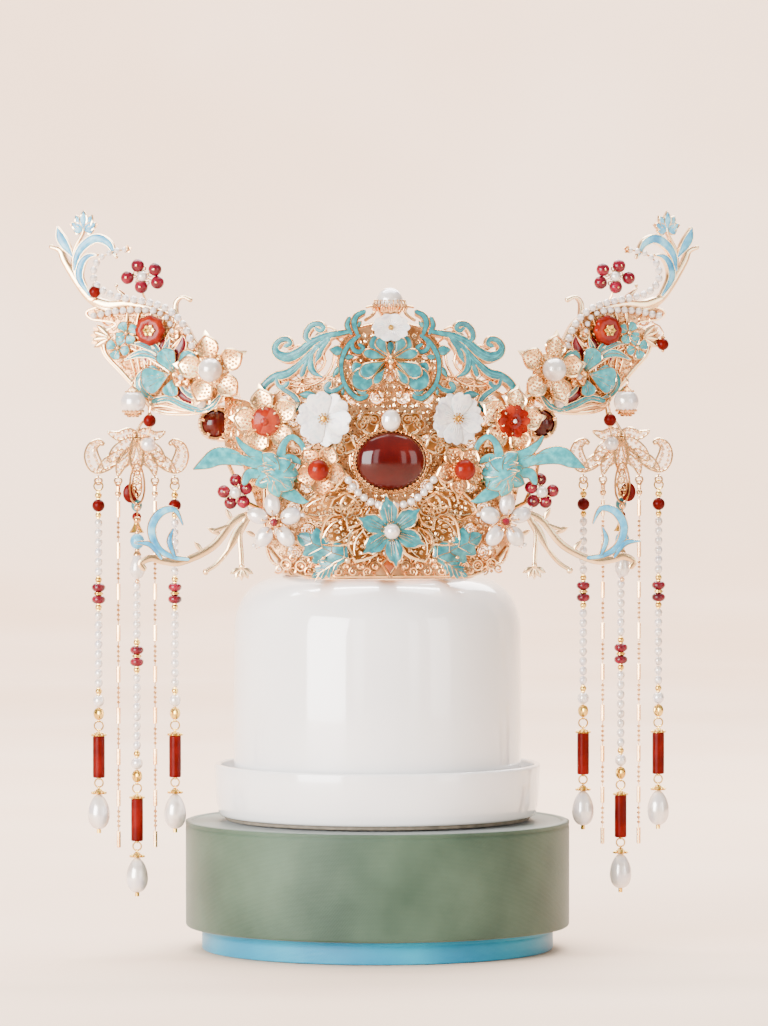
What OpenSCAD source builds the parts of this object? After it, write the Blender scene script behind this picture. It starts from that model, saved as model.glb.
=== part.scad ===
// Hair crown with side tassels, set on a round display stand.
// Millimetres, +Z up. The front faces -Y. The origin lies on the floor, on the stand's axis.

/* [Stand] */
// Radius of the cloth-covered foot
foot_r = 73.4; // [68:0.2:76]
// Height of the foot
foot_h = 9.2; // [6:0.2:12]
// Radius of the cloth-covered lid
lid_r = 80.3; // [78:0.1:80.5]
// Height of the lid
lid_h = 44.2; // [40:0.2:50]
// Outer radius of the porcelain saucer
saucer_r = 68; // [66:0.5:72]
// Height of the saucer above its dark foot ring
saucer_h = 21.8; // [16:0.2:26]
// Thickness of the saucer's wall
saucer_wall = 2.6; // [2:0.2:4]
// Radius of the porcelain dome
dome_r = 60.2; // [56:0.2:62]
// Height of the dome above the saucer's floor
dome_h = 97.5; // [90:0.2:110]
// Radius of the dome's shoulder
shoulder_r = 18; // [10:0.5:24]

/* [Crown] */
// Distance of the wall's front face ahead of the axis
front_y = 52; // [50:0.5:56]
// Half width of the flat middle panel
fold_x = 22; // [20:0.5:24]
// Turn of the side panels in degrees
panel_turn = 15; // [12:0.5:18]
// Thickness of the filigree wall
wall_t = 1.6; // [1.2:0.1:2]
// Radius of the base hoop
hoop_r = 40; // [36:0.5:42]
// Height of the base hoop
hoop_h = 6; // [4:0.5:9]
// Width of the centre stone
stone_w = 26.8; // [24:0.2:28]
// Height of the centre stone
stone_h = 23.6; // [21:0.2:25]
// Diameter of the crest pearl
crest_pearl_d = 10.7; // [9:0.1:12]

/* [Wings] */
// Distance of a wing's root from the middle plane
wing_x = 67.6; // [67:0.2:70]
// Distance of a wing's root ahead of the axis
wing_y = 12; // [11:0.5:14]
// Backward sweep of the wings in degrees
wing_turn = 16; // [12:1:20]
// Thickness of the wing plates
wing_t = 1.6; // [1.2:0.1:2]

/* [Tassels] */
// Distance of a tassel's axis from the middle plane
tassel_x = 101; // [100.5:0.1:103]
// Distance of a tassel's axis ahead of the stand's axis
tassel_y = 9; // [8:0.5:11]
// Distance of the outer and inner strands from the middle strand
strand_step = 15.8; // [15:0.1:17]
// Diameter of a strand pearl
pearl_d = 3.8; // [3:0.1:3.9]
// Pitch of the strand pearls
pearl_pitch = 4; // [4:0.1:4.2]
// Diameter of a strand's wire
wire_d = 0.6; // [0.5:0.1:0.8]

/* [Hidden] */

gap = 0.3;
lid_z = foot_h + gap;
ring_z = lid_z + lid_h + gap;
saucer_z = ring_z + 1.6;
dome_z = saucer_z + saucer_wall + gap;
dome_top = dome_z + dome_h;
// The crown's heights below are given for a dome top at 156
drawn_top = 156;
crown_lift = dome_top - drawn_top;
rest_z = drawn_top + gap;
wall_x = 50;
wall_end_y = front_y - (wall_x - fold_x) * tan(panel_turn);
cheek_turn = 66;
lap = 0.7;
stone_z = 204.6;

gold = "#d9a066";
turquoise = "#62b9bd";
sky = "#8fc6da";
shell = "#f4f2ee";
pearl = "#efe6de";
carnelian = "#c23a14";
dark_red = "#7c1a0e";
ruby = "#b01230";
coral = "#c9301a";

// Point on the curve from b to c, with neighbours a and d
function between(a, b, c, d, t) =
    (2 * b + (c - a) * t + (2 * a - 5 * b + 4 * c - d) * t * t + (3 * b - a - 3 * c + d) * t * t * t) / 2;
function smooth(k, n) = concat(
    [for (i = [0:len(k) - 2]) for (j = [0:n - 1])
        between(k[max(i - 1, 0)], k[i], k[i + 1], k[min(i + 2, len(k) - 1)], j / n)],
    [k[len(k) - 1]]);
function heading(k, i) =
    let (a = k[max(i - 1, 0)], b = k[min(i + 1, len(k) - 1)]) atan2(b[1] - a[1], b[0] - a[0]);
function edge(k, i, side) =
    let (a = heading(k, i) + 90 * side) [k[i][0] + k[i][2] / 2 * cos(a), k[i][1] + k[i][2] / 2 * sin(a)];
// Half width of a leaf of width 1 at the share t of its length, widest at the share "belly"
function leaf_half(t, belly) = sin(180 * pow(t, ln(0.5) / ln(belly))) / 2;

// Flat ribbon along knots of [x, z, width]
module stroke(knots, n = 3) {
    k = smooth(knots, n);
    last = len(k) - 1;
    polygon(concat([for (i = [0:last]) edge(k, i, 1)], [for (i = [last:-1:0]) edge(k, i, -1)]));
    translate([k[0][0], k[0][1]]) circle(d = k[0][2], $fn = 10);
    translate([k[last][0], k[last][1]]) circle(d = k[last][2], $fn = 10);
}

// Leaf outline from the origin along +X
module leaf(length, width, belly = 0.5, steps = 8) {
    up = [for (i = [0:steps]) [length * i / steps, width * leaf_half(i / steps, belly)]];
    down = [for (i = [steps - 1:-1:1]) [length * i / steps, -width * leaf_half(i / steps, belly)]];
    polygon(concat(up, down));
}

module leaf_at(x, z, turn, length, width, belly = 0.5) {
    translate([x, z]) rotate(turn) leaf(length, width, belly);
}

// Turns a flat drawing of x and z into a plate that faces the front
module upright(t) {
    rotate([90, 0, 0]) linear_extrude(t) offset(delta = 0.01) children();
}

module at_front(x, z, out = 0) {
    mirror([x < 0 ? 1 : 0, 0, 0])
        if (abs(x) <= fold_x) translate([abs(x), -front_y - out, z]) children();
        else translate([fold_x, -front_y, 0]) rotate([0, 0, panel_turn])
            translate([(abs(x) - fold_x) / cos(panel_turn), -out, z]) children();
}

// Plate that follows the three front panels, from a drawing as seen from the front
module bent_plate(out, t) {
    translate([0, -front_y - out, 0]) upright(t) intersection() {
        children();
        translate([-fold_x - lap, 0]) square([2 * (fold_x + lap), 400]);
    }
    for (s = [0, 1]) mirror([s, 0, 0]) translate([fold_x, -front_y, 0]) rotate([0, 0, panel_turn])
        translate([0, -out, 0]) upright(t) scale([1 / cos(panel_turn), 1]) translate([-fold_x, 0])
            intersection() {
                children();
                translate([fold_x - lap, 0]) square([90, 400]);
            }
}

module both_sides() {
    children();
    mirror([1, 0]) children();
}

// Drawing of a wing in x and z, set on the swept plane
module on_wing(out) {
    translate([wing_x, -wing_y, 0]) rotate([0, 0, wing_turn]) translate([0, -out, 0]) children();
}

module wing_plate(out, t) {
    on_wing(out) upright(t) scale([1 / cos(wing_turn), 1]) translate([-wing_x, 0]) children();
}

module wing_spot(x, z, out) {
    on_wing(out) translate([(x - wing_x) / cos(wing_turn), 0, z]) children();
}

module rod(a, b, d) {
    v = b - a;
    translate(a) rotate([0, acos(v[2] / norm(v)), atan2(v[1], v[0])]) cylinder(d = d, h = norm(v), $fn = 24);
}

// Round wire through points, with a ball a little thicker than the wire at each bend
module bent_rod(points, d) {
    for (i = [0:len(points) - 2]) rod(points[i], points[i + 1], d);
    for (p = points) translate(p) sphere(d = d * 1.2, $fn = 24);
}

// Wire from a to just short of a ball of the given diameter at b
module wire_to(a, b, ball, d) {
    v = b - a;
    rod(a, b - v / norm(v) * (ball / 2 + gap), d);
}

// Tube swept along 3-D points
module tube(points, d, sides = 8) {
    last = len(points) - 1;
    ways = [for (i = [0:last]) let (v = points[min(i + 1, last)] - points[max(i - 1, 0)]) v / norm(v)];
    flat = [0, 1, 0];
    rings = [for (i = [0:last]) let (u = cross(ways[i], flat), e = u / norm(u), f = cross(e, ways[i]))
        for (j = [0:sides - 1]) points[i] + d / 2 * (e * cos(360 * j / sides) + f * sin(360 * j / sides))];
    skin = [for (i = [0:last - 1]) for (j = [0:sides - 1]) let (a = i * sides, k = (j + 1) % sides)
        [a + j, a + k, a + sides + k, a + sides + j]];
    caps = [[for (j = [sides - 1:-1:0]) j], [for (j = [0:sides - 1]) last * sides + j]];
    polyhedron(concat(rings), concat(skin, caps));
}

// Ball flattened or stretched to its three sizes
module oval(w, d, h) {
    scale([w, d, h]) sphere(d = 1, $fn = 32);
}

// Round link in the plane across the axis it is turned to
module ring(d, wire) {
    rotate_extrude($fn = 32) translate([d / 2, 0]) circle(d = wire, $fn = 16);
}

module stand_foot() {
    color("#5fb4dc") cylinder(r = foot_r, h = foot_h, $fn = 96);
}

module stand_lid() {
    edge_r = 1.6;
    color("#6f8b7c") translate([0, 0, lid_z]) rotate_extrude($fn = 96) {
        square([lid_r - edge_r, lid_h]);
        translate([0, edge_r]) square([lid_r, lid_h - 2 * edge_r]);
        for (z = [edge_r, lid_h - edge_r]) translate([lid_r - edge_r, z]) circle(r = edge_r, $fn = 24);
    }
}

module stand_saucer() {
    color("white") rotate_extrude($fn = 96) {
        translate([0, ring_z]) square([saucer_r - 4, 2.4]);
        translate([0, saucer_z]) square([saucer_r - 1, saucer_wall]);
        translate([saucer_r - saucer_wall, saucer_z + 1]) square([saucer_wall, saucer_h - 1]);
        translate([saucer_r - 1, saucer_z + 1]) circle(r = 1, $fn = 24);
    }
}

module stand_dome() {
    color("white") translate([0, 0, dome_z]) rotate_extrude($fn = 96) {
        square([dome_r - shoulder_r, dome_h]);
        square([dome_r, dome_h - shoulder_r]);
        translate([dome_r - shoulder_r, dome_h - shoulder_r]) intersection() {
            circle(r = shoulder_r, $fn = 64);
            square(shoulder_r);
        }
    }
}

// Half outline of the wall, rows of [x, z]
wall_edge = [
    [0, rest_z], [34, rest_z], [42, 161], [50, 170], [50, 226], [46, 232], [36, 238], [23, 240],
    [20, 252], [12, 259], [0, 261]
];
// Outline of a cheek, rows of [distance behind the wall's end, z]. It starts clear of the wall
cheek_edge = [[1.6, 178], [1.6, 226], [18, 229], [31, 230], [33, 236], [36, 236], [36, 210], [22, 204], [8, 186]];
end_stone_at = [68, -2, 219];
// Wire from behind the end cup down to the front end of the cheek
side_wire = [[61.5, -16.8, 210], [64.6, -24, 204], [61.6, -37, 196], [57, -41, 187], [51, -41.2, 184]];

// Rows of gaps between ribs, with the folds of the wall left whole
module pierced(rim, pitch, hole) {
    difference() {
        children(0);
        intersection() {
            offset(delta = -rim) children(0);
            for (row = [0:9]) for (x = row % 2 == 0 ? [0, pitch, 28, 39] : [pitch / 2, 1.42 * pitch, 33.5, 44.5])
                for (s = [-1, 1]) translate([s * x, 167 + row * pitch * 0.84]) circle(d = hole, $fn = 8);
        }
    }
}

module wall() {
    bent_plate(-wall_t, wall_t) pierced(2.2, 10.8, 7) both_sides() polygon(wall_edge);
}

module bottom_rim() {
    bent_plate(-0.4, 1.6) both_sides() {
        translate([-1, rest_z]) square([34, 5.5]);
        for (i = [0:6]) translate([2.6 + i * 4.6, rest_z + 5.4]) circle(d = 4.4, $fn = 12);
    }
}

module cheek() {
    translate([wall_x, -wall_end_y, 0]) rotate([0, 0, cheek_turn]) translate([0, wall_t, 0])
        upright(wall_t) difference() {
            polygon(cheek_edge);
            for (p = [[6, 196], [6, 207], [6, 218], [16, 211], [16, 222], [27, 215], [27, 224]])
                translate(p) circle(d = 6.4, $fn = 8);
        }
}

module end_cup() {
    translate(end_stone_at) rotate([90, 0, 0]) {
        difference() {
            translate([0, 0, -1.5]) cylinder(d = 12.8, h = 5, $fn = 48);
            cylinder(d = 11.2, h = 6, $fn = 48);
        }
        for (a = [45:90:315]) rotate(a) translate([6, 0, 0]) cylinder(d = 1.2, h = 5.6, $fn = 16);
    }
}

module hoop() {
    translate([0, 0, rest_z]) difference() {
        cylinder(r = hoop_r, h = hoop_h, $fn = 96);
        translate([0, 0, -1]) cylinder(r = hoop_r - 1.4, h = hoop_h + 2, $fn = 96);
    }
}

// Flat ties from the hoop to just short of the wall's back
module ties() {
    middle_reach = front_y - wall_t - gap - hoop_r;
    side_reach = 15.8;
    for (tie = [[0, 8, middle_reach], [33, 6, side_reach], [-33, 6, side_reach]])
        translate([0, 0, rest_z + 1]) rotate([0, 0, tie[0]])
            translate([-tie[1] / 2, -hoop_r - tie[2], 0]) cube([tie[1], tie[2] + 0.6, 1.6]);
}

module crown_frame() {
    color(gold) translate([0, 0, crown_lift]) union() {
        wall();
        bottom_rim();
    }
}

module crown_hoop() {
    color(gold) translate([0, 0, crown_lift]) union() {
        hoop();
        ties();
    }
}

module side_frames() {
    color(gold) for (s = [0, 1]) mirror([s, 0, 0]) translate([0, 0, crown_lift]) union() {
        cheek();
        end_cup();
        for (z = [212.2, 225.8]) rod([66.4, -3, z], [62.7, -14, z], 2);
        tube(side_wire, 1.8);
    }
}

// Cloud scrolls round the stone, rows of [x, z, turn]
clouds = [[9.2, 221, 20], [20.6, 212, 60], [14.5, 185.5, 130]];

module cloud() {
    circle(d = 5.4, $fn = 14);
    translate([-2.9, 1.2]) circle(d = 4.4, $fn = 14);
    translate([2.9, 1.2]) circle(d = 4.4, $fn = 14);
    translate([0, -3]) circle(d = 5, $fn = 14);
}

module centre_bezel() {
    border = 3.4;
    color(gold) translate([0, 0, crown_lift]) {
        translate([0, -front_y - 2.4, 0]) upright(1.2) both_sides() {
            translate([0, stone_z]) scale([stone_w + 2 * border, stone_h + 2 * border]) circle(d = 1, $fn = 48);
            for (c = clouds) translate([c[0], c[1]]) rotate(-c[2]) cloud();
            for (c = clouds) stroke([[c[0] * 0.6, stone_z + (c[1] - stone_z) * 0.6, 3], [c[0], c[1], 2.4]], 1);
        }
        translate([0, -front_y - gap, stone_z]) rotate([90, 0, 0]) {
            cylinder(d = 16, h = 2.6, $fn = 32);
            difference() {
                scale([(stone_w + 3.4) / 30, (stone_h + 3.4) / 30, 1]) translate([0, 0, 2.2])
                    cylinder(d = 30, h = 3.4, $fn = 64);
                scale([(stone_w + 0.6) / 30, (stone_h + 0.6) / 30, 1]) translate([0, 0, 3.8])
                    cylinder(d = 30, h = 3, $fn = 64);
            }
        }
    }
}

module centre_stone() {
    color(dark_red) translate([0, -front_y - 4.4, crown_lift + stone_z]) difference() {
        oval(stone_w, 11, stone_h);
        translate([-20, 0, -20]) cube(40);
    }
}

module brow_pearl() {
    color(pearl) translate([0, -front_y - 5.6, crown_lift + 223]) oval(7, 5.2, 8.6);
}

// Pearls of a swag, rows of [x, z]
swag = [[16.4, 194], [14.2, 191.2], [11.6, 188.9], [8.6, 187.2], [5.4, 186.2]];

module front_pearls() {
    color(pearl) translate([0, 0, crown_lift]) {
        for (s = [-1, 1]) for (p = swag) translate([s * p[0], -front_y - 5.2, p[1]]) sphere(d = 2.7, $fn = 24);
        translate([0, -front_y - 10.4, 176]) sphere(d = 6, $fn = 32);
    }
}

// Fan of rolled-rim petals, rows of [x, z, turn, length, width]
fan = [[10, 190, -14, 26, 13], [9, 186, -40, 24, 13], [6, 182, -66, 20, 13]];

module lotus_petals() {
    color(gold) translate([0, 0, crown_lift]) bent_plate(gap, 1.4) both_sides() difference() {
        union() {
            for (p = fan) leaf_at(p[0], p[1], p[2], p[3], p[4], 0.62);
            translate([-0.5, 181]) square([9, 3.4]);
        }
        for (p = fan) for (t = [0.62, 0.8])
            translate([p[0], p[1]]) rotate(p[2]) for (s = [-1, 1])
                translate([p[3] * t, s * p[4] * 0.17]) circle(d = 2.6, $fn = 8);
    }
}

// Cupped flower that faces the front, petals tilted outward from a round base
module flower(count, reach, width, t, tilt, belly, turn = 0, holes = 0) {
    for (i = [0:count - 1]) rotate([0, 360 * i / count + turn, 0]) rotate([tilt, 0, 0])
        upright(t) difference() {
            rotate(90) leaf(reach, width, belly);
            if (holes > 0) for (s = [-1, 1]) translate([s * width * 0.18, reach * 0.66]) circle(d = holes, $fn = 8);
        }
    rotate([90, 0, 0]) cylinder(d = width * 0.7, h = t + 0.8, $fn = 32);
}

module lower_flower() {
    color(turquoise) translate([0, -front_y - 5, crown_lift + 176]) {
        flower(5, 12.6, 9.4, 1, 8, 0.62);
        rotate([-90, 0, 0]) cylinder(d = 3, h = 5 - gap - 1.4 - gap, $fn = 24);
    }
}

// Ribbons of the crest, rows of [x, z, width]
crest_main = [
    [50.4, 233.4, 3], [52, 236, 3.2], [49.3, 240, 2.8], [44.2, 241.8, 2.6], [38, 243.7, 3], [32.5, 247.2, 3.8],
    [28.5, 251.7, 4], [23.8, 256.1, 3.4], [18.7, 258.3, 3], [13, 259.3, 2.4]
];
crest_outer_curl = [
    [31.4, 249.8, 2.4], [37.2, 247.8, 2.8], [42.4, 248.3, 3], [45, 251.6, 2.8], [43.6, 254.9, 2.2],
    [40.6, 255.2, 1.8], [39.4, 252.9, 1.8], [41, 251.9, 2]
];
crest_inner_curl = [
    [23.4, 257.6, 2.2], [30.4, 256, 2.4], [33.2, 258.4, 2.4], [31.8, 261.4, 2], [28.6, 261.8, 1.6],
    [26.8, 259.9, 1.6], [28.4, 258.7, 1.8]
];
crest_top_leaf = [[15, 254.4, 1.8], [16.6, 259.6, 3.4], [15.5, 263.8, 3], [12.4, 265.6, 2], [10.4, 264.8, 1.6]];
crest_branch = [
    [14.5, 255, 2], [18.4, 248, 2.4], [19.9, 241.5, 2.4], [19.2, 235.5, 2.4], [15.6, 231, 2.4],
    [12, 229.9, 2.2], [10.2, 231.6, 2.4]
];
crest_low_curl = [
    [45.6, 240.6, 1.8], [43.8, 235, 1.8], [39, 231.6, 1.8], [36.9, 227.3, 2], [38, 223.9, 2], [39.8, 224.2, 2.4]
];
crest_hook = [[12.4, 248.4, 1.6], [9.4, 250.2, 1.6], [8.8, 253.6, 1.6], [11.6, 255.6, 1.8], [15, 255, 2]];
// Leaves of the crest, rows of [x, z, turn, length, width]
crest_leaves = [
    [18.6, 248, 32, 7.4, 3.6], [19.6, 243, -22, 5.6, 3], [19.4, 237, -8, 7, 3],
    [37, 229.8, 180, 8, 3], [32.2, 247, -118, 8, 3.4], [37, 244, -96, 5, 2.4]
];

module crest_drawing() {
    for (k = [crest_main, crest_outer_curl, crest_inner_curl, crest_top_leaf, crest_branch, crest_low_curl,
              crest_hook]) stroke(k);
    for (v = crest_leaves) leaf_at(v[0], v[1], v[2], v[3], v[4]);
}

crest_pearl_at = [0, -52, 269.8];

module crest_cup() {
    translate(crest_pearl_at) {
        difference() {
            translate([0, 0, -6.6]) cylinder(d1 = 8, d2 = 13.4, h = 4.4, $fn = 48);
            sphere(d = crest_pearl_d + 2 * gap, $fn = 48);
        }
        for (i = [0:11]) rotate(i * 30) translate([6.1, 0, -3.2]) rotate([0, 12, 0])
            cylinder(d1 = 1.5, d2 = 0.8, h = 4.6, $fn = 16);
    }
    translate([-5, -front_y - gap - 1.9, 257]) cube([10, 1.8, 7]);
}

module crest() {
    color(turquoise) translate([0, 0, crown_lift]) union() {
        bent_plate(gap, 1.8) both_sides() {
            crest_drawing();
            translate([-0.5, 257]) square([14, 2.6]);
        }
        crest_cup();
    }
}

// Petals of the butterfly, rows of [x, z, turn, length, width, belly]
butterfly_petals = [
    [0, 245.4, 90, 8.6, 3.8, 0.6], [0.6, 246, 58, 10, 6.4, 0.66], [1.6, 246, 28, 11.6, 6, 0.66],
    [1, 245, -12, 15, 7, 0.6], [1, 244.6, -34, 17.6, 8, 0.64]
];

module crest_butterfly() {
    color(turquoise) translate([0, -front_y - 2.4, crown_lift]) {
        upright(1.4) both_sides() {
            for (p = butterfly_petals) leaf_at(p[0], p[1], p[2], p[3], p[4], p[5]);
            stroke([[0, 245, 1.4], [1.2, 239, 1.2], [4.4, 234.4, 1.2], [4.6, 231, 1.2], [2, 230.6, 1.4]]);
        }
        translate([0, -1.8, 245.2]) sphere(d = 3, $fn = 24);
    }
}

module crest_pearl() {
    color(pearl) translate([0, 0, crown_lift]) translate(crest_pearl_at) sphere(d = crest_pearl_d, $fn = 48);
}

module crest_shell() {
    color(shell) translate([0, -front_y - 4.2, crown_lift]) {
        upright(1.6) both_sides() {
            leaf_at(0, 256, 90, 6.4, 7, 0.6);
            leaf_at(0, 256.4, 26, 7.6, 6.6, 0.6);
        }
        translate([0, 0, 257.4]) rotate([-90, 0, 0]) cylinder(d = 2.4, h = 1.7, $fn = 24);
    }
}

module shell_flower(s) {
    color(shell) translate([0, 0, crown_lift]) at_front(s * 25.8, 221.8, 4.4) {
        flower(8, 9.8, 6.6, 0.9, 7, 0.66, 22.5);
        rotate([90, 0, 0]) cylinder(d = 4.4, h = 2.6, $fn = 24);
        rotate([-90, 0, 0]) cylinder(d = 2.6, h = 4.1, $fn = 24);
    }
}

module bead_flower(s) {
    translate([0, 0, crown_lift]) at_front(s * 27.4, 201, 4.6) {
        color(gold) {
            flower(5, 10.2, 7.8, 1, 9, 0.62, 41, 2.2);
            rotate([-90, 0, 0]) cylinder(d = 3, h = 4.3, $fn = 24);
        }
        color(coral) translate([0, -5.5, 0]) sphere(d = 7, $fn = 32);
    }
}

// Lobes of a serrated leaf, rows of [share along the rib, turn, length, width]
serrations = [[0.1, 62, 8, 4], [0.36, 52, 8.6, 4.4], [0.6, 44, 6.6, 3.6]];

module serrated_leaf(s) {
    color(turquoise) translate([0, 0, crown_lift]) at_front(s * 22.6, 171.4, 2.4) {
        upright(1.2) rotate(-34) {
            leaf(22, 10, 0.42);
            for (v = serrations) for (m = [-1, 1])
                translate([22 * v[0], 0]) rotate(m * v[1]) leaf(v[2] + 1.4, v[3], 0.5);
        }
        translate([8, -0.4, -4.2]) rotate([-90, 0, 0]) cylinder(d = 2, h = 2.5, $fn = 16);
    }
}

module side_flower(s) {
    color(gold) translate([0, 0, crown_lift]) at_front(s * 49, 220.6, 4.2) difference() {
        union() {
            flower(5, 13.4, 9.6, 1, 8, 0.66, 12, 2.6);
            rotate([90, 0, 0]) cylinder(d = 12.4, h = 2.6, $fn = 48);
            translate([-2, 0, 0]) rotate([-90, 0, 0]) cylinder(d = 3, h = 3.9, $fn = 24);
        }
        translate([0, -1.2, 0]) rotate([90, 0, 0]) cylinder(d = 11.2, h = 4, $fn = 48);
    }
}

// Round faceted stone: girdle, crown facets and table
module cut_stone(d, h, facets) {
    cylinder(d = d, h = h * 0.4, $fn = facets);
    translate([0, 0, h * 0.4]) cylinder(d1 = d, d2 = d * 0.56, h = h * 0.6, $fn = facets);
}

module side_stone(s) {
    color(carnelian) translate([0, 0, crown_lift]) at_front(s * 49, 220.6, 5.6) rotate([90, 0, 0])
        if (s < 0) cut_stone(10.8, 5, 12);
        else {
            linear_extrude(3) {
                circle(d = 5.6, $fn = 32);
                for (i = [0:4]) rotate(i * 72) translate([3.2, 0]) circle(d = 4.4, $fn = 32);
            }
            cylinder(d = 2.6, h = 3.6, $fn = 32);
        }
}

module end_stone(s) {
    color(dark_red) mirror([s < 0 ? 1 : 0, 0, 0]) translate([0, 0, crown_lift]) translate(end_stone_at)
        translate([0, -gap, 0]) difference() {
            oval(10.6, 11, 10.6);
            translate([-10, 0, -10]) cube(20);
        }
}

// Blades of the leaf cluster as ribbons, rows of [x, z, width]
cluster_blades = [
    [[40, 200, 7], [52, 204, 4], [60, 205.6, 4.6], [68, 206, 7], [73, 203.4, 4.6], [77.6, 200.6, 0.8]],
    [[46, 204, 5], [56, 207.4, 4.4], [60.4, 212, 2.6], [57.6, 214.4, 1.8], [54.6, 212.4, 2]],
    [[44, 204, 5], [38, 212, 2.6], [33.8, 212.6, 2.2], [33.4, 208, 2.2]],
    [[44, 202, 5], [36, 205.4, 3], [31.4, 201.6, 1]],
    [[44, 196, 6], [38, 192, 4.6], [32.4, 188, 0.8]],
    [[48, 198, 4], [56, 199, 2.6], [57.4, 196.4, 2.4]]
];

module leaf_cluster(s) {
    color(turquoise) mirror([s < 0 ? 1 : 0, 0, 0]) translate([0, 0, crown_lift]) {
        translate([0, -51.6, 0]) upright(1.6) for (k = cluster_blades) stroke(k, 2);
        translate([46, -53.4, 199]) oval(15, 9, 15);
        translate([46, -53, 199]) rotate([-90, 0, 0]) cylinder(d = 4, h = 6.8, $fn = 24);
    }
}

// Berries of a spray, rows of [x, z, how far ahead]
spray = [[58.6, 193.4, 3], [62.6, 196.6, 1], [67.6, 192, 2], [59.6, 187.8, 2], [64.8, 187.4, 1]];

module berry_spray(s) {
    middle = [62.8, -0.4, 191.6];
    berry_d = 4.3;
    heart = [63, -4.4, 191.6];
    heart_d = 4.6;
    mirror([s < 0 ? 1 : 0, 0, 0]) translate([0, -45.4, crown_lift]) {
        color(ruby) for (b = spray) translate([b[0], -b[2], b[1]]) sphere(d = berry_d, $fn = 24);
        color(pearl) translate(heart) sphere(d = heart_d, $fn = 24);
        color(gold) {
            bent_rod([[61.3, 5.6, 194.8], middle], 1.1);
            for (b = spray) wire_to(middle, [b[0], -b[2], b[1]], berry_d, 0.8);
            wire_to(middle, heart, heart_d, 0.8);
        }
    }
}

// Rice pearls of a flower, rows of [turn, reach, length, width]
rice = [[84, 7, 8.6, 6], [160, 7.2, 8, 6.4], [232, 7.6, 8.2, 6], [306, 7.6, 8.4, 6.4], [20, 7.4, 8.2, 6]];

module rice_flower(s) {
    translate([0, 0, crown_lift]) at_front(s * 45.4, 179.6, 5.4) {
        color(pearl) for (p = rice) rotate([0, -p[0], 0]) translate([p[1], -2.6, 0]) oval(p[2], 5, p[3]);
        color(ruby) translate([0, -3.4, 0]) sphere(d = 3, $fn = 24);
        color(gold) {
            rotate([90, 0, 0]) cylinder(d = 5, h = 1.4, $fn = 32);
            for (p = rice) rotate([0, -p[0], 0]) translate([0, 0.9, 0]) rotate([0, 90, 0])
                cylinder(d = 1.2, h = p[1], $fn = 16);
            rotate([-90, 0, 0]) cylinder(d = 3, h = 5.1, $fn = 24);
        }
    }
}

// Stems of the lower branch as ribbons, rows of [x, z, width]
branch_stems = [
    [[53, 183.6, 2], [62.8, 180.4, 2.4], [72, 169.6, 2.4], [84.6, 163.4, 2], [92, 163.6, 2], [97, 165, 2],
     [101.4, 163, 1.8], [100.4, 160.8, 2]],
    [[58, 182.2, 1.6], [63, 172, 1.4], [69.6, 163.2, 1.4], [74.4, 159.8, 1.4]],
    [[56, 182.6, 1.6], [60.6, 176, 1.4], [60.4, 166, 1.4], [60.2, 160.6, 1.2]],
    [[60, 181.6, 1.4], [65, 178.4, 1.6], [71.4, 176, 1.8]],
    [[57, 182, 2], [62, 175, 4], [67, 165.4, 1]]
];
branch_scroll = [
    [84.4, 178.6, 0.8], [87.6, 184.6, 2.4], [93.6, 183.4, 3.6], [97.2, 177, 3.6], [94.8, 169.4, 3.2],
    [88.6, 165.4, 2.4], [82.6, 164.4, 2]
];
branch_leaf = [[88.4, 176.6, 1], [89.8, 171.6, 2.6], [87.8, 166, 1.6]];
branch_end = [[93.4, 165, 1.6], [97.6, 170.4, 2.6], [103.8, 171.2, 0.8]];
branch_y = 45.4;

module lower_branch(s) {
    color(gold) mirror([s < 0 ? 1 : 0, 0, 0]) translate([0, -branch_y, crown_lift]) {
        upright(1.8) {
            for (k = branch_stems) stroke(k, 2);
            for (k = [branch_scroll, branch_leaf, branch_end]) stroke(k);
            for (a = [-150, -120, -90, -60, -30]) leaf_at(60.2, 161, a, 5.6, 2.2);
            translate([52, 182]) circle(d = 4, $fn = 16);
        }
        translate([74.8, -0.9, 159.2]) sphere(d = 2.8, $fn = 24);
        translate([52, -0.9, 182]) rotate([-90, 0, 0]) cylinder(d = 3, h = 2.6, $fn = 24);
    }
}

// Outline of a wing's body, rows of [x, z]
wing_edge = [
    [65.2, 229], [73, 224], [84, 222.8], [94, 224.6], [99, 231], [107, 240], [114, 248], [115, 255.6],
    [109, 260.4], [119, 262.4], [120, 266], [106, 269], [90, 266.6], [81, 260], [76, 251.6], [65.2, 244]
];
wing_stem = [[112, 266.6, 5], [118.7, 270.4, 3.6], [123.8, 276.5, 3.2], [129.6, 286, 2.8], [131.6, 290.6, 2.4],
    [135.2, 292, 1.4]];
wing_bud_stem = [[123.6, 276, 2.6], [126, 284, 2], [125.8, 291, 1.4], [122.6, 297.4, 1.2], [122, 300, 1.2]];
wing_arch = [[125.6, 284, 1.6], [122.6, 292, 3], [116.6, 295.6, 3.6], [111.4, 293.4, 2.6], [109, 288.4, 0.8]];
wing_side_leaf = [[126.6, 289, 1.4], [130, 293.4, 3.4], [132.4, 299.4, 0.8]];
wing_blade = [[120.6, 272, 1.6], [124.6, 279.6, 2.6], [122.6, 287, 2.4], [117.8, 288.8, 0.8]];
wing_hook = [[84.4, 261.6, 2.4], [84.6, 268.6, 2], [82, 271.4, 1.4], [79.6, 270.6, 1.6]];
wing_flame = [[103, 267.6, 2.6], [105.4, 271.6, 2.4], [108.6, 275, 0.8]];

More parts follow.
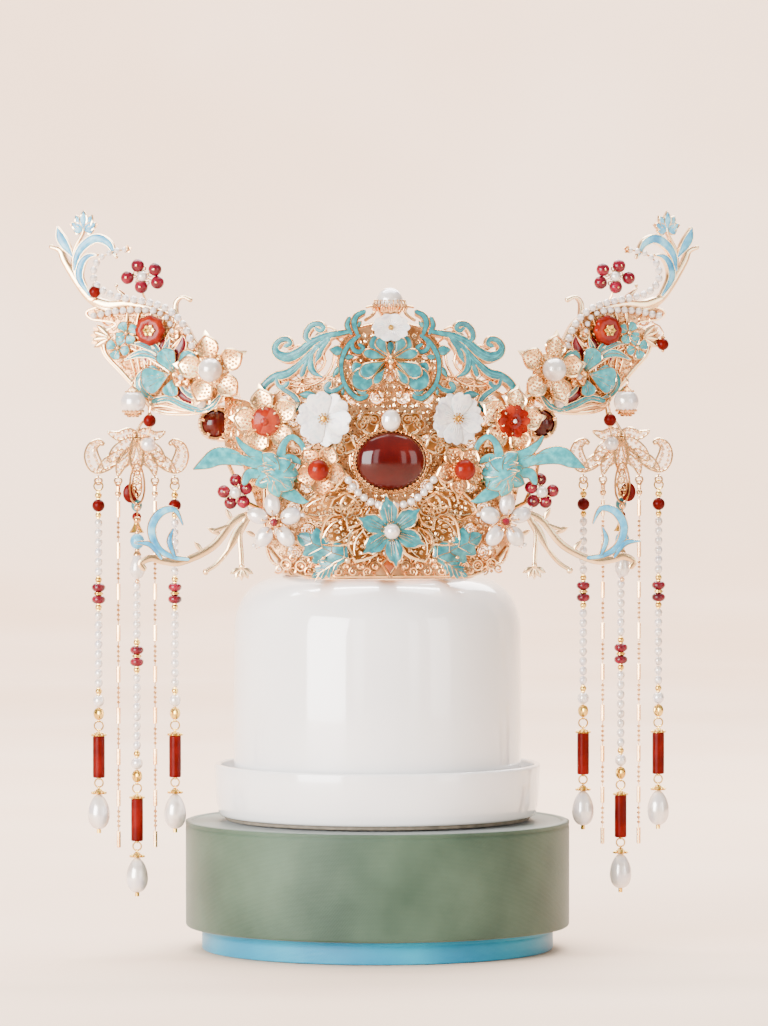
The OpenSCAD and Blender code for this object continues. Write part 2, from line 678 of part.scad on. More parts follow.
module wing_frame(s) {
    color(gold) mirror([s < 0 ? 1 : 0, 0, 0]) translate([0, 0, crown_lift]) {
        wing_plate(-wing_t, wing_t) {
            difference() {
                polygon(wing_edge);
                for (p = [[79, 232], [88, 231], [83, 241], [92, 240], [87, 250], [97, 247], [105, 251], [94, 260]])
                    translate(p) circle(d = 5, $fn = 8);
            }
            for (k = [wing_stem, wing_bud_stem, wing_arch, wing_side_leaf, wing_blade, wing_hook, wing_flame])
                stroke(k);
            for (a = [25, 60, 90, 120, 155]) leaf_at(122, 299, a, 6.4, 2.6);
            for (a = [-18, 8, 34]) leaf_at(112, 254.6, a, 7.6, 3);
        }
        wing_plate(-0.4, 1.6) {
            stroke([[93.6, 226.4, 3], [87.6, 226, 2.2], [81, 224.4, 2.4], [74, 225.4, 2.4], [70, 229.6, 2]]);
            stroke([[88, 232, 1.4], [82, 228.6, 2], [76, 228.8, 1.6]]);
        }
    }
}

// Petals and blades of the wing's iris, rows of [x, z, turn, length, width, belly]
iris_petals = [
    [85, 238.6, 80, 11, 8.4, 0.66], [86.4, 238.4, 142, 11.4, 7.6, 0.66], [86, 238.4, -18, 11.6, 10.4, 0.64],
    [85.4, 237.4, -96, 7, 4.6, 0.6], [94, 240.4, 8, 12.6, 4, 0.5], [94, 241, 48, 13, 3.4, 0.5],
    [93, 241, 86, 10.6, 3.2, 0.5], [95.6, 238.8, -44, 9, 3.6, 0.4], [101.4, 233.2, -112, 8.4, 3.2, 0.4]
];

module wing_iris(s) {
    color(turquoise) mirror([s < 0 ? 1 : 0, 0, 0]) translate([0, 0, crown_lift]) {
        wing_plate(2, 1.4) {
            for (p = iris_petals) leaf_at(p[0], p[1], p[2], p[3], p[4], p[5]);
            stroke([[84, 238, 3], [94, 240.6, 3], [103, 250, 1.6], [107, 253, 3]], 2);
            for (c = [[105.4, 255], [109.4, 251.6]]) translate(c) for (a = [0:72:288])
                rotate(a) leaf(3.8, 3, 0.6);
        }
        wing_spot(81.4, 238.2, 3.4) flower(5, 4.4, 3.4, 0.8, 10, 0.64);
        wing_spot(81.4, 238.2, 4.2) rotate([-90, 0, 0]) cylinder(d = 2.4, h = 3.9, $fn = 24);
        wing_spot(97.6, 241.6, 2) rotate([-90, 0, 0]) cylinder(d = 2, h = 1.7, $fn = 24);
    }
}

module wing_flower(s) {
    mirror([s < 0 ? 1 : 0, 0, 0]) translate([0, 0, crown_lift]) {
        color(gold) wing_spot(69.4, 241.8, 6.6) rotate([0, 0, -wing_turn - 6]) difference() {
            union() {
                flower(5, 14.6, 9.6, 1, 8, 0.66, 10, 2.6);
                rotate([90, 0, 0]) cylinder(d = 9.4, h = 2.2, $fn = 48);
            }
            translate([0, -4.2, 0]) sphere(d = 10.8 + gap, $fn = 48);
        }
        color(gold) wing_spot(70.2, 241.8, 6.6) rotate([-90, 0, 0]) cylinder(d = 2.6, h = 6.3, $fn = 24);
        color(pearl) wing_spot(69.4, 241.8, 6.6) rotate([0, 0, -wing_turn - 6]) translate([0, -4.2, 0])
            sphere(d = 10.8, $fn = 48);
    }
}

module wing_stone(s) {
    color(carnelian) mirror([s < 0 ? 1 : 0, 0, 0]) translate([0, 0, crown_lift]) {
        wing_spot(94.8, 257.6, 3.8) rotate([90, 0, 0]) {
            cylinder(d = 12.2, h = 2, $fn = 48);
            translate([0, 0, 2]) cylinder(d1 = 12.2, d2 = 8.4, h = 1.4, $fn = 48);
            for (a = [0:45:315]) rotate(a) translate([1.9, 0, 3]) cylinder(d = 1.5, h = 1.2, $fn = 16);
        }
        wing_spot(94.8, 257.6, 4) rotate([-90, 0, 0]) cylinder(d = 4, h = 3.7, $fn = 24);
    }
}

// Centre lines of the pearl rows, rows of [x, z]
upper_row = [
    [106.6, 291.2], [112.8, 290.8], [118, 287], [119.4, 281.4], [117.4, 275.4], [111, 271.6], [104, 270.4],
    [96, 269.4], [88.6, 267], [83, 262.6], [79.4, 257], [77.4, 250.8]
];
lower_row = [[85.4, 257], [87.6, 262.6], [93, 265.6], [101, 266], [109.4, 265.4], [117.6, 263.6]];
// Berries of the upper flower, rows of [x, z]
wing_berries = [[92, 282.8], [99, 284.4], [103.2, 279.4], [97.6, 275.6], [91, 277.4]];

function wing_point(x, z, out) = [
    x + out * sin(wing_turn), -wing_y + (x - wing_x) * tan(wing_turn) - out * cos(wing_turn), z
];

module wing_beads(s) {
    row_out = 2.2;
    berry_d = 4.5;
    middle = wing_point(97, 280, 2.6);
    heart = wing_point(97, 280, 5.6);
    heart_d = 4.4;
    mirror([s < 0 ? 1 : 0, 0, 0]) translate([0, 0, crown_lift]) {
        color(pearl) for (row = [upper_row, lower_row])
            tube([for (k = smooth(row, 2)) wing_point(k[0], k[1], row_out)], 3.4);
        color(ruby) for (b = wing_berries) translate(wing_point(b[0], b[1], 4.6)) sphere(d = berry_d, $fn = 24);
        color(pearl) translate(heart) sphere(d = heart_d, $fn = 24);
        color(gold) {
            bent_rod([wing_point(96.4, 268.7, -0.8), middle], 1.1);
            for (b = wing_berries) wire_to(middle, wing_point(b[0], b[1], 4.6), berry_d, 0.8);
            wire_to(middle, heart, heart_d, 0.8);
        }
        color(pearl) translate(wing_point(73.6, 227.6, 3.8)) sphere(d = 4.5, $fn = 24);
    }
}

drop_at = [102.6, -13.4, 228];

module wing_drop(s) {
    mirror([s < 0 ? 1 : 0, 0, 0]) translate([0, 0, crown_lift]) {
        color(pearl) translate(drop_at) sphere(d = 10.4, $fn = 48);
        color(gold) translate(drop_at) difference() {
            translate([0, 0, -6.4]) cylinder(d1 = 4, d2 = 9.4, h = 3.4, $fn = 48);
            sphere(d = 10.4 + gap, $fn = 48);
        }
        color(gold) bent_rod([drop_at + [0, 0, 6], drop_at + [0, 0, 9.4], drop_at + [0, 10.5, 9.4]], 1);
        color(gold) bent_rod([[95.8, -13.4, 223.4], [95.8, -13.4, 229.6], [95.8, -9.6, 231]], 1);
        color(coral) translate([95.8, -13.4, 220.4]) sphere(d = 5.4, $fn = 32);
        color(pearl) translate([96.4, -13.4, 210.6]) sphere(d = 6, $fn = 32);
        color(gold) rod([95.9, -13.4, 217.5], [96.3, -13.4, 213.8], 1);
    }
}

// Half outline of the tassel plaque as ribbons, rows of [x from its centre, z, width]
plaque = [
    [[0, 212.4, 9], [0, 205, 10], [0, 199.2, 5]],
    [[1, 211, 5], [7.4, 213.6, 3.4], [11.6, 214.4, 0.8]],
    [[2, 207.6, 6], [7, 203, 5.4], [12.4, 201.2, 4], [15.8, 200.2, 6.4], [19, 206, 4.4], [17.4, 210.6, 1.6]],
    [[2, 204, 5], [7.6, 198.6, 3.4]]
];

module tassel_bar(s) {
    mirror([s < 0 ? 1 : 0, 0, 0]) translate([tassel_x, -tassel_y, crown_lift]) {
        color(gold) upright(1.2) difference() {
            both_sides() for (k = plaque) stroke(k, 2);
            for (m = [-1, 1]) for (p = [[2.4, 210], [2.4, 205], [7, 203.2], [11.4, 201.4], [16.6, 202.6], [18, 206.4]])
                translate([m * p[0], p[1]]) circle(d = 1.9, $fn = 8);
        }
        color(gold) for (x = [-strand_step, -7.6, 0, 7.6, strand_step])
            translate([x, -0.6, 195.4]) rotate([90, 0, 0]) ring(3, 0.8);
        color(gold) bent_rod([[0, -0.6, 215.8], [-5.4, -0.6, 221.4], [-5.4, 6.2, 225.4]], 1.2);
    }
}

// Beads of a strand from the top down, rows of [kind, height]
// Kinds: 0 gold ball, 1 pearl, 2 coral ball, 3 faceted rondelle, 4 gold spacer, 5 gold oval, 6 open link,
// 7 gold cap, 8 coral tube, 9 pearl drop, 10 turquoise oval, 11 gold lotus
small_pearls_6 = [for (i = [1:6]) [1, pearl_pitch]];
small_pearls_8 = [for (i = [1:8]) [1, pearl_pitch]];
side_beads = concat(
    [[6, 4.6], [0, 3], [2, 5.4], [0, 2.6]], small_pearls_6,
    [[0, 2.8], [3, 3.6], [4, 1.4], [3, 3.6], [0, 2.8]], small_pearls_8,
    [[0, 2.8], [1, 5.2], [5, 5.4], [6, 4.6], [7, 2], [8, 17.2], [6, 4.4], [7, 2.4], [9, 14.6], [0, 1.6]]);
middle_beads = concat(
    [[6, 4.6], [0, 3], [10, 5.4], [2, 4], [11, 4.6]], small_pearls_8, [for (i = [1:3]) [1, pearl_pitch]],
    [[0, 2.8], [3, 3.6], [4, 1.4], [3, 3.6], [0, 2.8]], small_pearls_8,
    [[0, 2.8], [1, 5.2], [5, 5.4], [6, 4.6], [7, 2], [8, 17.6], [6, 4.4], [7, 2.4], [9, 14.6], [0, 1.6]]);
strand_top = 195.6;

function depth_to(beads, n) = n == 0 ? 0 : beads[n - 1][1] + depth_to(beads, n - 1);

module drilled(h) {
    difference() {
        children();
        translate([0, 0, -h]) cylinder(d = wire_d + 0.5, h = 2 * h, $fn = 16);
    }
}

module bead(kind, h) {
    free = h - 0.2;
    if (kind == 6) color(gold) rotate([0, 90, 0]) ring(free - 0.8, 0.8);
    else color([gold, pearl, coral, ruby, gold, gold, gold, gold, coral, pearl, sky, gold][kind]) drilled(h) {
        if (kind <= 2) sphere(d = min(free, h > 5 ? 5.2 : pearl_d), $fn = 24);
        if (kind == 3) rondelle(5.2, free);
        if (kind == 4) translate([0, 0, -free / 2]) cylinder(d = 3.6, h = free, $fn = 24);
        if (kind == 5) oval(4.2, 4.2, free);
        if (kind == 7) translate([0, 0, -free / 2]) cylinder(d1 = 5.4, d2 = 2.4, h = free, $fn = 24);
        if (kind == 8) translate([0, 0, -free / 2]) cylinder(d = 5, h = free, $fn = 32);
        if (kind == 9) pearl_drop(9.2, free);
        if (kind == 10) oval(3, 3, free);
        if (kind == 11) translate([0, 0, -free / 2]) cylinder(d1 = 8.6, d2 = 3, h = free, $fn = 24);
    }
}

module rondelle(d, h) {
    for (m = [0, 1]) mirror([0, 0, m]) cylinder(d1 = d, d2 = d * 0.5, h = h / 2, $fn = 8);
}

module pearl_drop(w, h) {
    rotate_extrude($fn = 32) polygon(concat([[0, -h / 2]], [for (i = [1:9]) let (t = i / 10)
        [w / 2 * sqrt(sin(180 * pow(t, 0.78))), -h / 2 + h * t]], [[0.9, h / 2], [0, h / 2]]));
}

module strand(beads) {
    for (i = [0:len(beads) - 1])
        translate([0, 0, strand_top - depth_to(beads, i) - beads[i][1] / 2]) bead(beads[i][0], beads[i][1]);
}

// Places a strand or chain of a tassel, m counts strand steps outward
module hung(s, m) {
    mirror([s < 0 ? 1 : 0, 0, 0]) translate([tassel_x + m * strand_step, -tassel_y - 0.6, crown_lift]) children();
}

module bar_chains(s) {
    color(gold) for (x = [-7.6, 7.6]) hung(s, x / strand_step)
        tube([for (z = [193.2:-7.5:43.2]) [0, 0, z]], 1.5);
}

// Wires between the open links of a strand
module wires(beads) {
    links = [for (i = [0:len(beads) - 1]) if (beads[i][0] == 6) i];
    ends = [for (i = [1:len(links) - 1]) links[i], len(beads)];
    for (i = [0:len(links) - 1]) {
        top = strand_top - depth_to(beads, links[i] + 1);
        low = strand_top - depth_to(beads, ends[i]);
        translate([0, 0, low + 0.3]) cylinder(d = wire_d, h = top - low - 0.5, $fn = 16);
    }
}

module strand_wires() {
    color(gold) for (s = [-1, 1]) {
        for (m = [-1, 1]) hung(s, m) wires(side_beads);
        hung(s, 0) wires(middle_beads);
    }
}

stand_foot();
stand_lid();
stand_saucer();
stand_dome();
crown_frame();
crown_hoop();
side_frames();
centre_bezel();
centre_stone();
brow_pearl();
front_pearls();
lotus_petals();
lower_flower();
crest();
crest_butterfly();
crest_pearl();
crest_shell();
shell_flower(-1);  // shell_flower_left
shell_flower(1);  // shell_flower_right
bead_flower(-1);  // bead_flower_left
bead_flower(1);  // bead_flower_right
serrated_leaf(-1);  // serrated_leaf_left
serrated_leaf(1);  // serrated_leaf_right
side_flower(-1);  // side_flower_left
side_flower(1);  // side_flower_right
side_stone(-1);  // side_stone_left
side_stone(1);  // side_stone_right
end_stone(-1);  // end_stone_left
end_stone(1);  // end_stone_right
leaf_cluster(-1);  // leaf_cluster_left
leaf_cluster(1);  // leaf_cluster_right
berry_spray(-1);  // berry_spray_left
berry_spray(1);  // berry_spray_right
rice_flower(-1);  // rice_flower_left
rice_flower(1);  // rice_flower_right
lower_branch(-1);  // lower_branch_left
lower_branch(1);  // lower_branch_right
wing_frame(-1);  // wing_frame_left
wing_frame(1);  // wing_frame_right
wing_iris(-1);  // wing_iris_left
wing_iris(1);  // wing_iris_right
wing_flower(-1);  // wing_flower_left
wing_flower(1);  // wing_flower_right
wing_stone(-1);  // wing_stone_left
wing_stone(1);  // wing_stone_right
wing_beads(-1);  // wing_beads_left
wing_beads(1);  // wing_beads_right
wing_drop(-1);  // wing_drop_left
wing_drop(1);  // wing_drop_right
tassel_bar(-1);  // tassel_bar_left
tassel_bar(1);  // tassel_bar_right
hung(-1, 1) strand(side_beads);  // outer_strand_left
hung(1, 1) strand(side_beads);  // outer_strand_right
hung(-1, 0) strand(middle_beads);  // middle_strand_left
hung(1, 0) strand(middle_beads);  // middle_strand_right
hung(-1, -1) strand(side_beads);  // inner_strand_left
hung(1, -1) strand(side_beads);  // inner_strand_right
bar_chains(-1);  // bar_chains_left
bar_chains(1);  // bar_chains_right
strand_wires();
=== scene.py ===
# %% [markdown]
# A hair crown on its display stand, dressed over its construction model.
# The construction model is loaded as a fixed frame. Each piece below takes the place of one of its
# nodes and lies in the same space, so nothing has to be fitted afterwards.

# %% Load the frame
import math
import bmesh
import bpy
import numpy as np
from mathutils import Matrix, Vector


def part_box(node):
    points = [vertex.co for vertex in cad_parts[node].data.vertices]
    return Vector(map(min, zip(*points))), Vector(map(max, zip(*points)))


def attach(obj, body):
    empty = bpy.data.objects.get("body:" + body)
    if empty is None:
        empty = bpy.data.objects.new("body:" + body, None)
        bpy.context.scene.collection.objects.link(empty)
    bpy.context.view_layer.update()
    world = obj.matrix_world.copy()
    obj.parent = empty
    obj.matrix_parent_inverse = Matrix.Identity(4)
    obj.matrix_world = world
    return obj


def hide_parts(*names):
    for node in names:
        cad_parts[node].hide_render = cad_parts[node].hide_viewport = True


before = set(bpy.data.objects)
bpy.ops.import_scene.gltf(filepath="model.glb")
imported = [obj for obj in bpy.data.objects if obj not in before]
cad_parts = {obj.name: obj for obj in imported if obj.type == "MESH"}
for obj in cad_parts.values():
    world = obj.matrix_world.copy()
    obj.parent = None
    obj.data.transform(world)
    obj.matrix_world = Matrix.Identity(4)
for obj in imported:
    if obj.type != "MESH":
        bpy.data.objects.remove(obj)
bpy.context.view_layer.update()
MM = 0.001
TINY = 1e-9
HAND_SEED = 11
rng = np.random.default_rng(HAND_SEED)

# %% [markdown]
# A mesh is only points and faces, so a shape is kept as arrays until it is finished. Shapes are
# worked out in millimetres, joined, and written into one mesh at the end. That is much faster than
# making hundreds of small objects, and one object per sub-part keeps the outliner readable.

# %% Shapes as arrays
def shape(points, quads=(), tris=()):
    """Points in millimetres with faces of four and of three corners; paint 0 is the first material."""
    quads = np.asarray(quads, int).reshape(-1, 4)
    tris = np.asarray(tris, int).reshape(-1, 3)
    return {"points": np.asarray(points, float).reshape(-1, 3), "quads": quads, "tris": tris,
            "quad_paint": np.zeros(len(quads), int), "tri_paint": np.zeros(len(tris), int)}


def painted(a, number):
    """The same shape on the material of that number."""
    return {**a, "quad_paint": np.full(len(a["quads"]), number),
            "tri_paint": np.full(len(a["tris"]), number)}


def joined(shapes):
    """One shape from many: face numbers move up by the points that come before them."""
    start = np.cumsum([0] + [len(a["points"]) for a in shapes])[:-1]
    return {"points": np.concatenate([a["points"] for a in shapes]),
            "quads": np.concatenate([a["quads"] + n for a, n in zip(shapes, start)]),
            "tris": np.concatenate([a["tris"] + n for a, n in zip(shapes, start)]),
            "quad_paint": np.concatenate([a["quad_paint"] for a in shapes]),
            "tri_paint": np.concatenate([a["tri_paint"] for a in shapes])}


def moved(a, by):
    """The shape shifted by x, y and z."""
    return {**a, "points": a["points"] + np.asarray(by, float)}


def mirrored(a, middle=0.0):
    """The other side's shape: x is measured back from the middle, and faces run the other way round."""
    points = a["points"] * [-1, 1, 1] + [2 * middle, 0, 0]
    return {**a, "points": points, "quads": a["quads"][:, ::-1], "tris": a["tris"][:, ::-1]}


def both(shapes):
    """The shapes of the right side and their mirror images."""
    return list(shapes) + [mirrored(a) for a in shapes]


# %% Write a piece
def piece(name, shapes, materials, replaces=(), sharp=38):
    """Writes joined shapes into one mesh that rides on the body, with creases past the sharp angle."""
    a = joined(shapes)
    quads, tris = a["quads"], a["tris"]
    mesh = bpy.data.meshes.new(name)
    mesh.vertices.add(len(a["points"]))
    mesh.vertices.foreach_set("co", (a["points"] * MM).ravel())
    mesh.loops.add(quads.size + tris.size)
    mesh.loops.foreach_set("vertex_index", np.concatenate([quads.ravel(), tris.ravel()]))
    mesh.polygons.add(len(quads) + len(tris))
    starts = np.concatenate([np.arange(len(quads)) * 4, quads.size + np.arange(len(tris)) * 3])
    mesh.polygons.foreach_set("loop_start", starts)
    mesh.polygons.foreach_set("material_index", np.concatenate([a["quad_paint"], a["tri_paint"]]))
    for m in materials:
        mesh.materials.append(m)
    mesh.update(calc_edges=True)
    work = bmesh.new()
    work.from_mesh(mesh)
    bmesh.ops.recalc_face_normals(work, faces=work.faces)
    work.to_mesh(mesh)
    work.free()
    mesh.shade_smooth()
    mesh.set_sharp_from_angle(angle=math.radians(sharp))
    made = bpy.data.objects.new(name, mesh)
    bpy.context.scene.collection.objects.link(made)
    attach(made, "root")
    if replaces:
        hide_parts(*replaces)
    print(f"{name}: {2 * len(quads) + len(tris)} triangles")
    return made


# %% [markdown]
# Nearly every part of the crown is a stack of rings with a skin over it: a wire is circles along a
# path, a bead is circles up an axis, and a band is the same cross-section carried along a curve.
# So one function skins rings, and the rest only says where the rings are.

# %% Rings and their skin
def skinned(rings, looped=False):
    """Skins k stacks of n rings of m points; unless looped, the middle of each end ring closes it."""
    k, n, m, _ = rings.shape
    stack = np.arange(k)[:, None, None] * n * m
    row = np.arange(n if looped else n - 1)[None, :, None]
    col = np.arange(m)[None, None, :]
    above, right = (row + 1) % n, (col + 1) % m
    quads = np.stack(np.broadcast_arrays(stack + row * m + col, stack + row * m + right,
                                         stack + above * m + right, stack + above * m + col), -1)
    points = rings.reshape(-1, 3)
    if looped:
        return shape(points, quads)
    middles = rings[:, [0, -1]].mean(axis=2).reshape(-1, 3)
    low = len(points) + 2 * np.arange(k)[:, None]
    first, last = stack[:, :, 0] + col[0], stack[:, :, 0] + (n - 1) * m + col[0]
    first_right, last_right = stack[:, :, 0] + right[0], stack[:, :, 0] + (n - 1) * m + right[0]
    tris = np.concatenate([
        np.stack(np.broadcast_arrays(low, first_right, first), -1).reshape(-1, 3),
        np.stack(np.broadcast_arrays(low + 1, last, last_right), -1).reshape(-1, 3)])
    return shape(np.concatenate([points, middles]), quads, tris)


def unit(v):
    """Vectors of length 1: each is divided by its length."""
    return v / np.maximum(np.linalg.norm(v, axis=-1, keepdims=True), TINY)


def wires(paths, radius, sides=5, away=(0, 1, 0), looped=False):
    """Round wires: at each point of a path a circle stands across it, with one axis along away."""
    paths = np.asarray(paths, float)
    paths = paths[None] if paths.ndim == 2 else paths
    if looped:
        step = unit(np.roll(paths, -1, axis=1) - np.roll(paths, 1, axis=1))
    else:
        step = unit(np.gradient(paths, axis=1))
    across = unit(np.cross(step, np.broadcast_to(away, paths.shape)))
    up = np.cross(across, step)
    turn = 2 * np.pi * np.arange(sides) / sides
    r = np.broadcast_to(radius, paths.shape[:2])[:, :, None, None]
    ring = across[:, :, None] * np.cos(turn)[:, None] + up[:, :, None] * np.sin(turn)[:, None]
    return skinned(paths[:, :, None] + r * ring, looped)


def balls(centres, half, cols=10, rows=6, axes=None):
    """Balls or ovals: circles of latitude at even angles, stretched to the half sizes along their axes."""
    centres = np.asarray(centres, float).reshape(-1, 3)
    half = np.asarray(half, float)
    half = half[:, None] * np.ones(3) if half.ndim == 1 else half * np.ones((len(centres), 3))
    lat = np.linspace(0.04, np.pi - 0.04, rows)[:, None]
    lon = 2 * np.pi * np.arange(cols) / cols
    ball = np.stack(np.broadcast_arrays(np.sin(lat) * np.cos(lon), np.sin(lat) * np.sin(lon), np.cos(lat)),
                    -1)
    points = ball[None] * half[:, None, None]
    if axes is not None:
        points = np.einsum("knmi,kij->knmj", points, np.asarray(axes, float).reshape(-1, 3, 3))
    return skinned(centres[:, None, None] + points)


def lathe(profile, sides=24, at=(0, 0, 0)):
    """Turns a profile of radius and height round the z axis."""
    profile = np.asarray(profile, float)
    turn = 2 * np.pi * np.arange(sides) / sides
    r, z = profile[:, :1], profile[:, 1:]
    rings = np.stack(np.broadcast_arrays(r * np.cos(turn), r * np.sin(turn), z), -1)
    return skinned(rings[None] + np.asarray(at, float))


def smooth(knots, n=6):
    """Catmull-Rom curve: a cubic between each two knots, with slopes from their neighbours."""
    k = np.asarray(knots, float)
    a, b, c, d = np.vstack([k[:1], k[:-2]]), k[:-1], k[1:], np.vstack([k[2:], k[-1:]])
    t = (np.arange(n) / n)[None, :, None]
    a, b, c, d = (v[:, None] for v in (a, b, c, d))
    curve = (2 * b + (c - a) * t + (2 * a - 5 * b + 4 * c - d) * t**2 + (3 * b - a - 3 * c + d) * t**3) / 2
    return np.vstack([curve.reshape(-1, k.shape[1]), k[-1:]])


# %% [markdown]
# The crown is drawn flat, as its maker cuts it from sheet, and then bent. A place function is that
# bend: it takes x, z and the distance out from the sheet and returns the point in space. The same
# drawing can so lie on the folded front, on a swept wing or on a flat plate.

# %% Where the sheets lie
FRONT_Y, FOLD_X, PANEL_TURN = 52, 22, math.radians(15)
WING_X, WING_Y, WING_TURN = 67.6, 12, math.radians(16)


def front(x, z, out):
    """Flat in the middle; past the fold y grows with the tangent of the panel's turn."""
    x, z, out = np.broadcast_arrays(x, z, out)
    past = np.maximum(np.abs(x) - FOLD_X, 0)
    turn = np.where(past > 0, PANEL_TURN, 0)
    return np.stack([x + np.sign(x) * out * np.sin(turn),
                     past * math.tan(PANEL_TURN) - FRONT_Y - out * np.cos(turn), z], -1)


def wing(x, z, out):
    """The right wing's plane, turned back from its root."""
    x, z, out = np.broadcast_arrays(x, z, out)
    return np.stack([x + out * math.sin(WING_TURN),
                     (x - WING_X) * math.tan(WING_TURN) - WING_Y - out * math.cos(WING_TURN), z], -1)


def flat(y):
    """An upright sheet at that distance in front of the axis."""
    def place(x, z, out):
        x, z, out = np.broadcast_arrays(x, z, out)
        return np.stack([x + 0.0, -y - out, z + 0.0], -1)
    return place


def spot(place, x, z, out=0.0, turn=0.0):
    """A small sheet set on another at x and z: u and v lie in it, turned by some degrees, h stands on it."""
    origin = place(x, z, out)
    along, away = unit(place(x + 1, z, out) - origin), unit(place(x, z, out + 1) - origin)
    upward = np.array([0.0, 0.0, 1.0])
    c, s = math.cos(math.radians(turn)), math.sin(math.radians(turn))

    def local(u, v, h):
        u, v, h = (np.asarray(w, float)[..., None] for w in np.broadcast_arrays(u, v, h))
        return origin + (u * c - v * s) * along + (u * s + v * c) * upward + h * away
    return local


def away_from(place, x, z, out):
    """Unit vectors that stand on the sheet."""
    return unit(place(x, z, out + 1) - place(x, z, out))


# %% [markdown]
# Enamelled scrollwork is a gold tray with a low rim, filled with glass. Both are the same ribbon:
# a cross-section is carried along a smooth curve of x, z and width, and the ends are rounded by
# rings that shrink as the sides of a half circle do.

# %% Ribbons and leaves
def ribbon(knots, place, section, out=0.0, n=4):
    """Band along knots of x, z and width. Section rows: share of the half width, inset and height in mm."""
    line = smooth(knots, n)
    half = line[:, 2] / 2
    step = unit(np.gradient(line[:, :2], axis=0))
    bow = np.radians([84, 58, 30])
    spine = np.vstack([line[0, :2] - np.sin(bow)[:, None] * step[0] * half[0], line[:, :2],
                       line[-1, :2] + np.sin(bow[::-1])[:, None] * step[-1] * half[-1]])
    half = np.concatenate([np.cos(bow) * half[0], half, np.cos(bow[::-1]) * half[-1]])
    step = np.vstack([step[:1]] * 3 + [step] + [step[-1:]] * 3)
    share, inset, height = np.asarray(section, float).T
    reach = share * half[:, None] - np.sign(share) * np.minimum(inset, 0.7 * half[:, None])
    x = spine[:, :1] - step[:, 1:] * reach
    z = spine[:, 1:] + step[:, :1] * reach
    return skinned(place(x, z, out + np.broadcast_to(height, x.shape))[None])


def tray(depth, rim=0.34, floor=0.5, high=0.85):
    """Cross-section of a gold tray: a wall on both sides with a rounded lip over a lower floor."""
    half = [[-1, 0, -depth], [-1, 0, high - 0.15], [-1, 0.1, high], [-1, rim - 0.1, high], [-1, rim, floor]]
    return half + [[-a, b, c] for a, b, c in half[::-1]]


def filling(inset=0.3, floor=0.5, swell=0.3):
    """Cross-section of the enamel in a tray: a low dome with its edge at the rim."""
    half = [[-1, inset, floor - 0.2], [-1, inset, floor + 0.1], [-0.55, 0, floor + 0.1 + 0.75 * swell]]
    return half + [[0, 0, floor + 0.1 + swell]] + [[-a, b, c] for a, b, c in half[::-1]]



def bar(high):
    """Cross-section of a half-round bar of that height."""
    return [[math.cos(a), 0, high * max(math.sin(a), -0.5)] for a in np.linspace(0, 2 * math.pi, 11)[:-1]]


def enamelled(knots, place, out=0.0, depth=1.2, n=4):
    """Gold tray, paint 0, and its enamel, paint 1."""
    return [ribbon(knots, place, tray(depth), out, n), painted(ribbon(knots, place, filling(), out, n), 1)]


def leaf_half(t, belly):
    """Half width of a leaf of width 1: half a sine wave that peaks at the belly; past 2/3 it ends round."""
    wave = np.sin(np.pi * np.clip(t, 0, 1) ** (math.log(0.5) / math.log(belly)))
    return np.clip(wave, 0, 1) ** (0.55 if belly > 2 / 3 else 1.0) / 2


def domed(high, base=0.0):
    """Height of a petal that is highest along its middle: the square of the share across is taken off."""
    return lambda s, t: high * (1 - t**2) + base + 0 * s


def petal(length, width, belly, place, form, thick, inset=0.0, rows=11, cols=7, paint=0, lobe=None):
    """Closed leaf on a sheet: form gives its height from the shares along and across, thick its depth."""
    s = (0.5 - 0.5 * np.cos(np.linspace(0.06, np.pi - 0.06, rows)))[:, None]
    t = np.linspace(-1, 1, cols)[None]
    half = np.maximum(width * leaf_half(s, belly) - inset, 0.02)
    if lobe is not None:
        half = half * lobe(s)
    long = np.clip(s * length, inset, length - inset)
    top = form(s, t) + 0 * t
    long_grid = np.broadcast_to(long, top.shape)
    u = np.concatenate([long_grid, long_grid[:, ::-1]], axis=1)
    v = np.concatenate([t * half, (t * half)[:, ::-1]], axis=1)
    h = np.concatenate([top, (top - thick)[:, ::-1]], axis=1)
    return painted(skinned(place(u, v, h)[None]), paint)


def turned(place, angle, tilt=0.0, cup=0.0, width=1.0, curl=0.0, length=1.0):
    """A petal's own sheet on a flower's: turned by some degrees, rising with tilt, hollowed by cup."""
    c, s = math.cos(math.radians(angle)), math.sin(math.radians(angle))
    rise = math.tan(math.radians(tilt))

    def local(u, v, h):
        lift = h + u * rise + cup * (2 * v / width) ** 2 - curl * np.maximum(u / length, 0) ** 3
        return place(u * c - v * s, u * s + v * c, lift)
    return local


def leaf_rim(length, width, belly, place, form, radius, steps=12, sides=4, inset=0.0, paint=0):
    """Wire round the edge of a leaf."""
    s = 0.5 - 0.5 * np.cos(np.linspace(0.1, np.pi - 0.1, steps))
    half = width * leaf_half(s, belly) - inset
    u = np.concatenate([[0.0], s * length, [length], s[::-1] * length])
    v = np.concatenate([[0.0], half, [0.0], -half[::-1]])
    share = u / length
    side = np.concatenate([[0.0], np.ones(steps), [0.0], -np.ones(steps)])
    h = form(share, side) + 0 * u
    path = place(u, v, h)[None]
    return painted(wires(path, radius, sides, away_from(place, u, v, h)[None], looped=True), paint)


# %% [markdown]
# Filigree is fine wire curled by hand and soldered inside a frame. Here the curls are placed on a
# staggered grid inside an outline, each with its own start angle, and all of them become one shape.

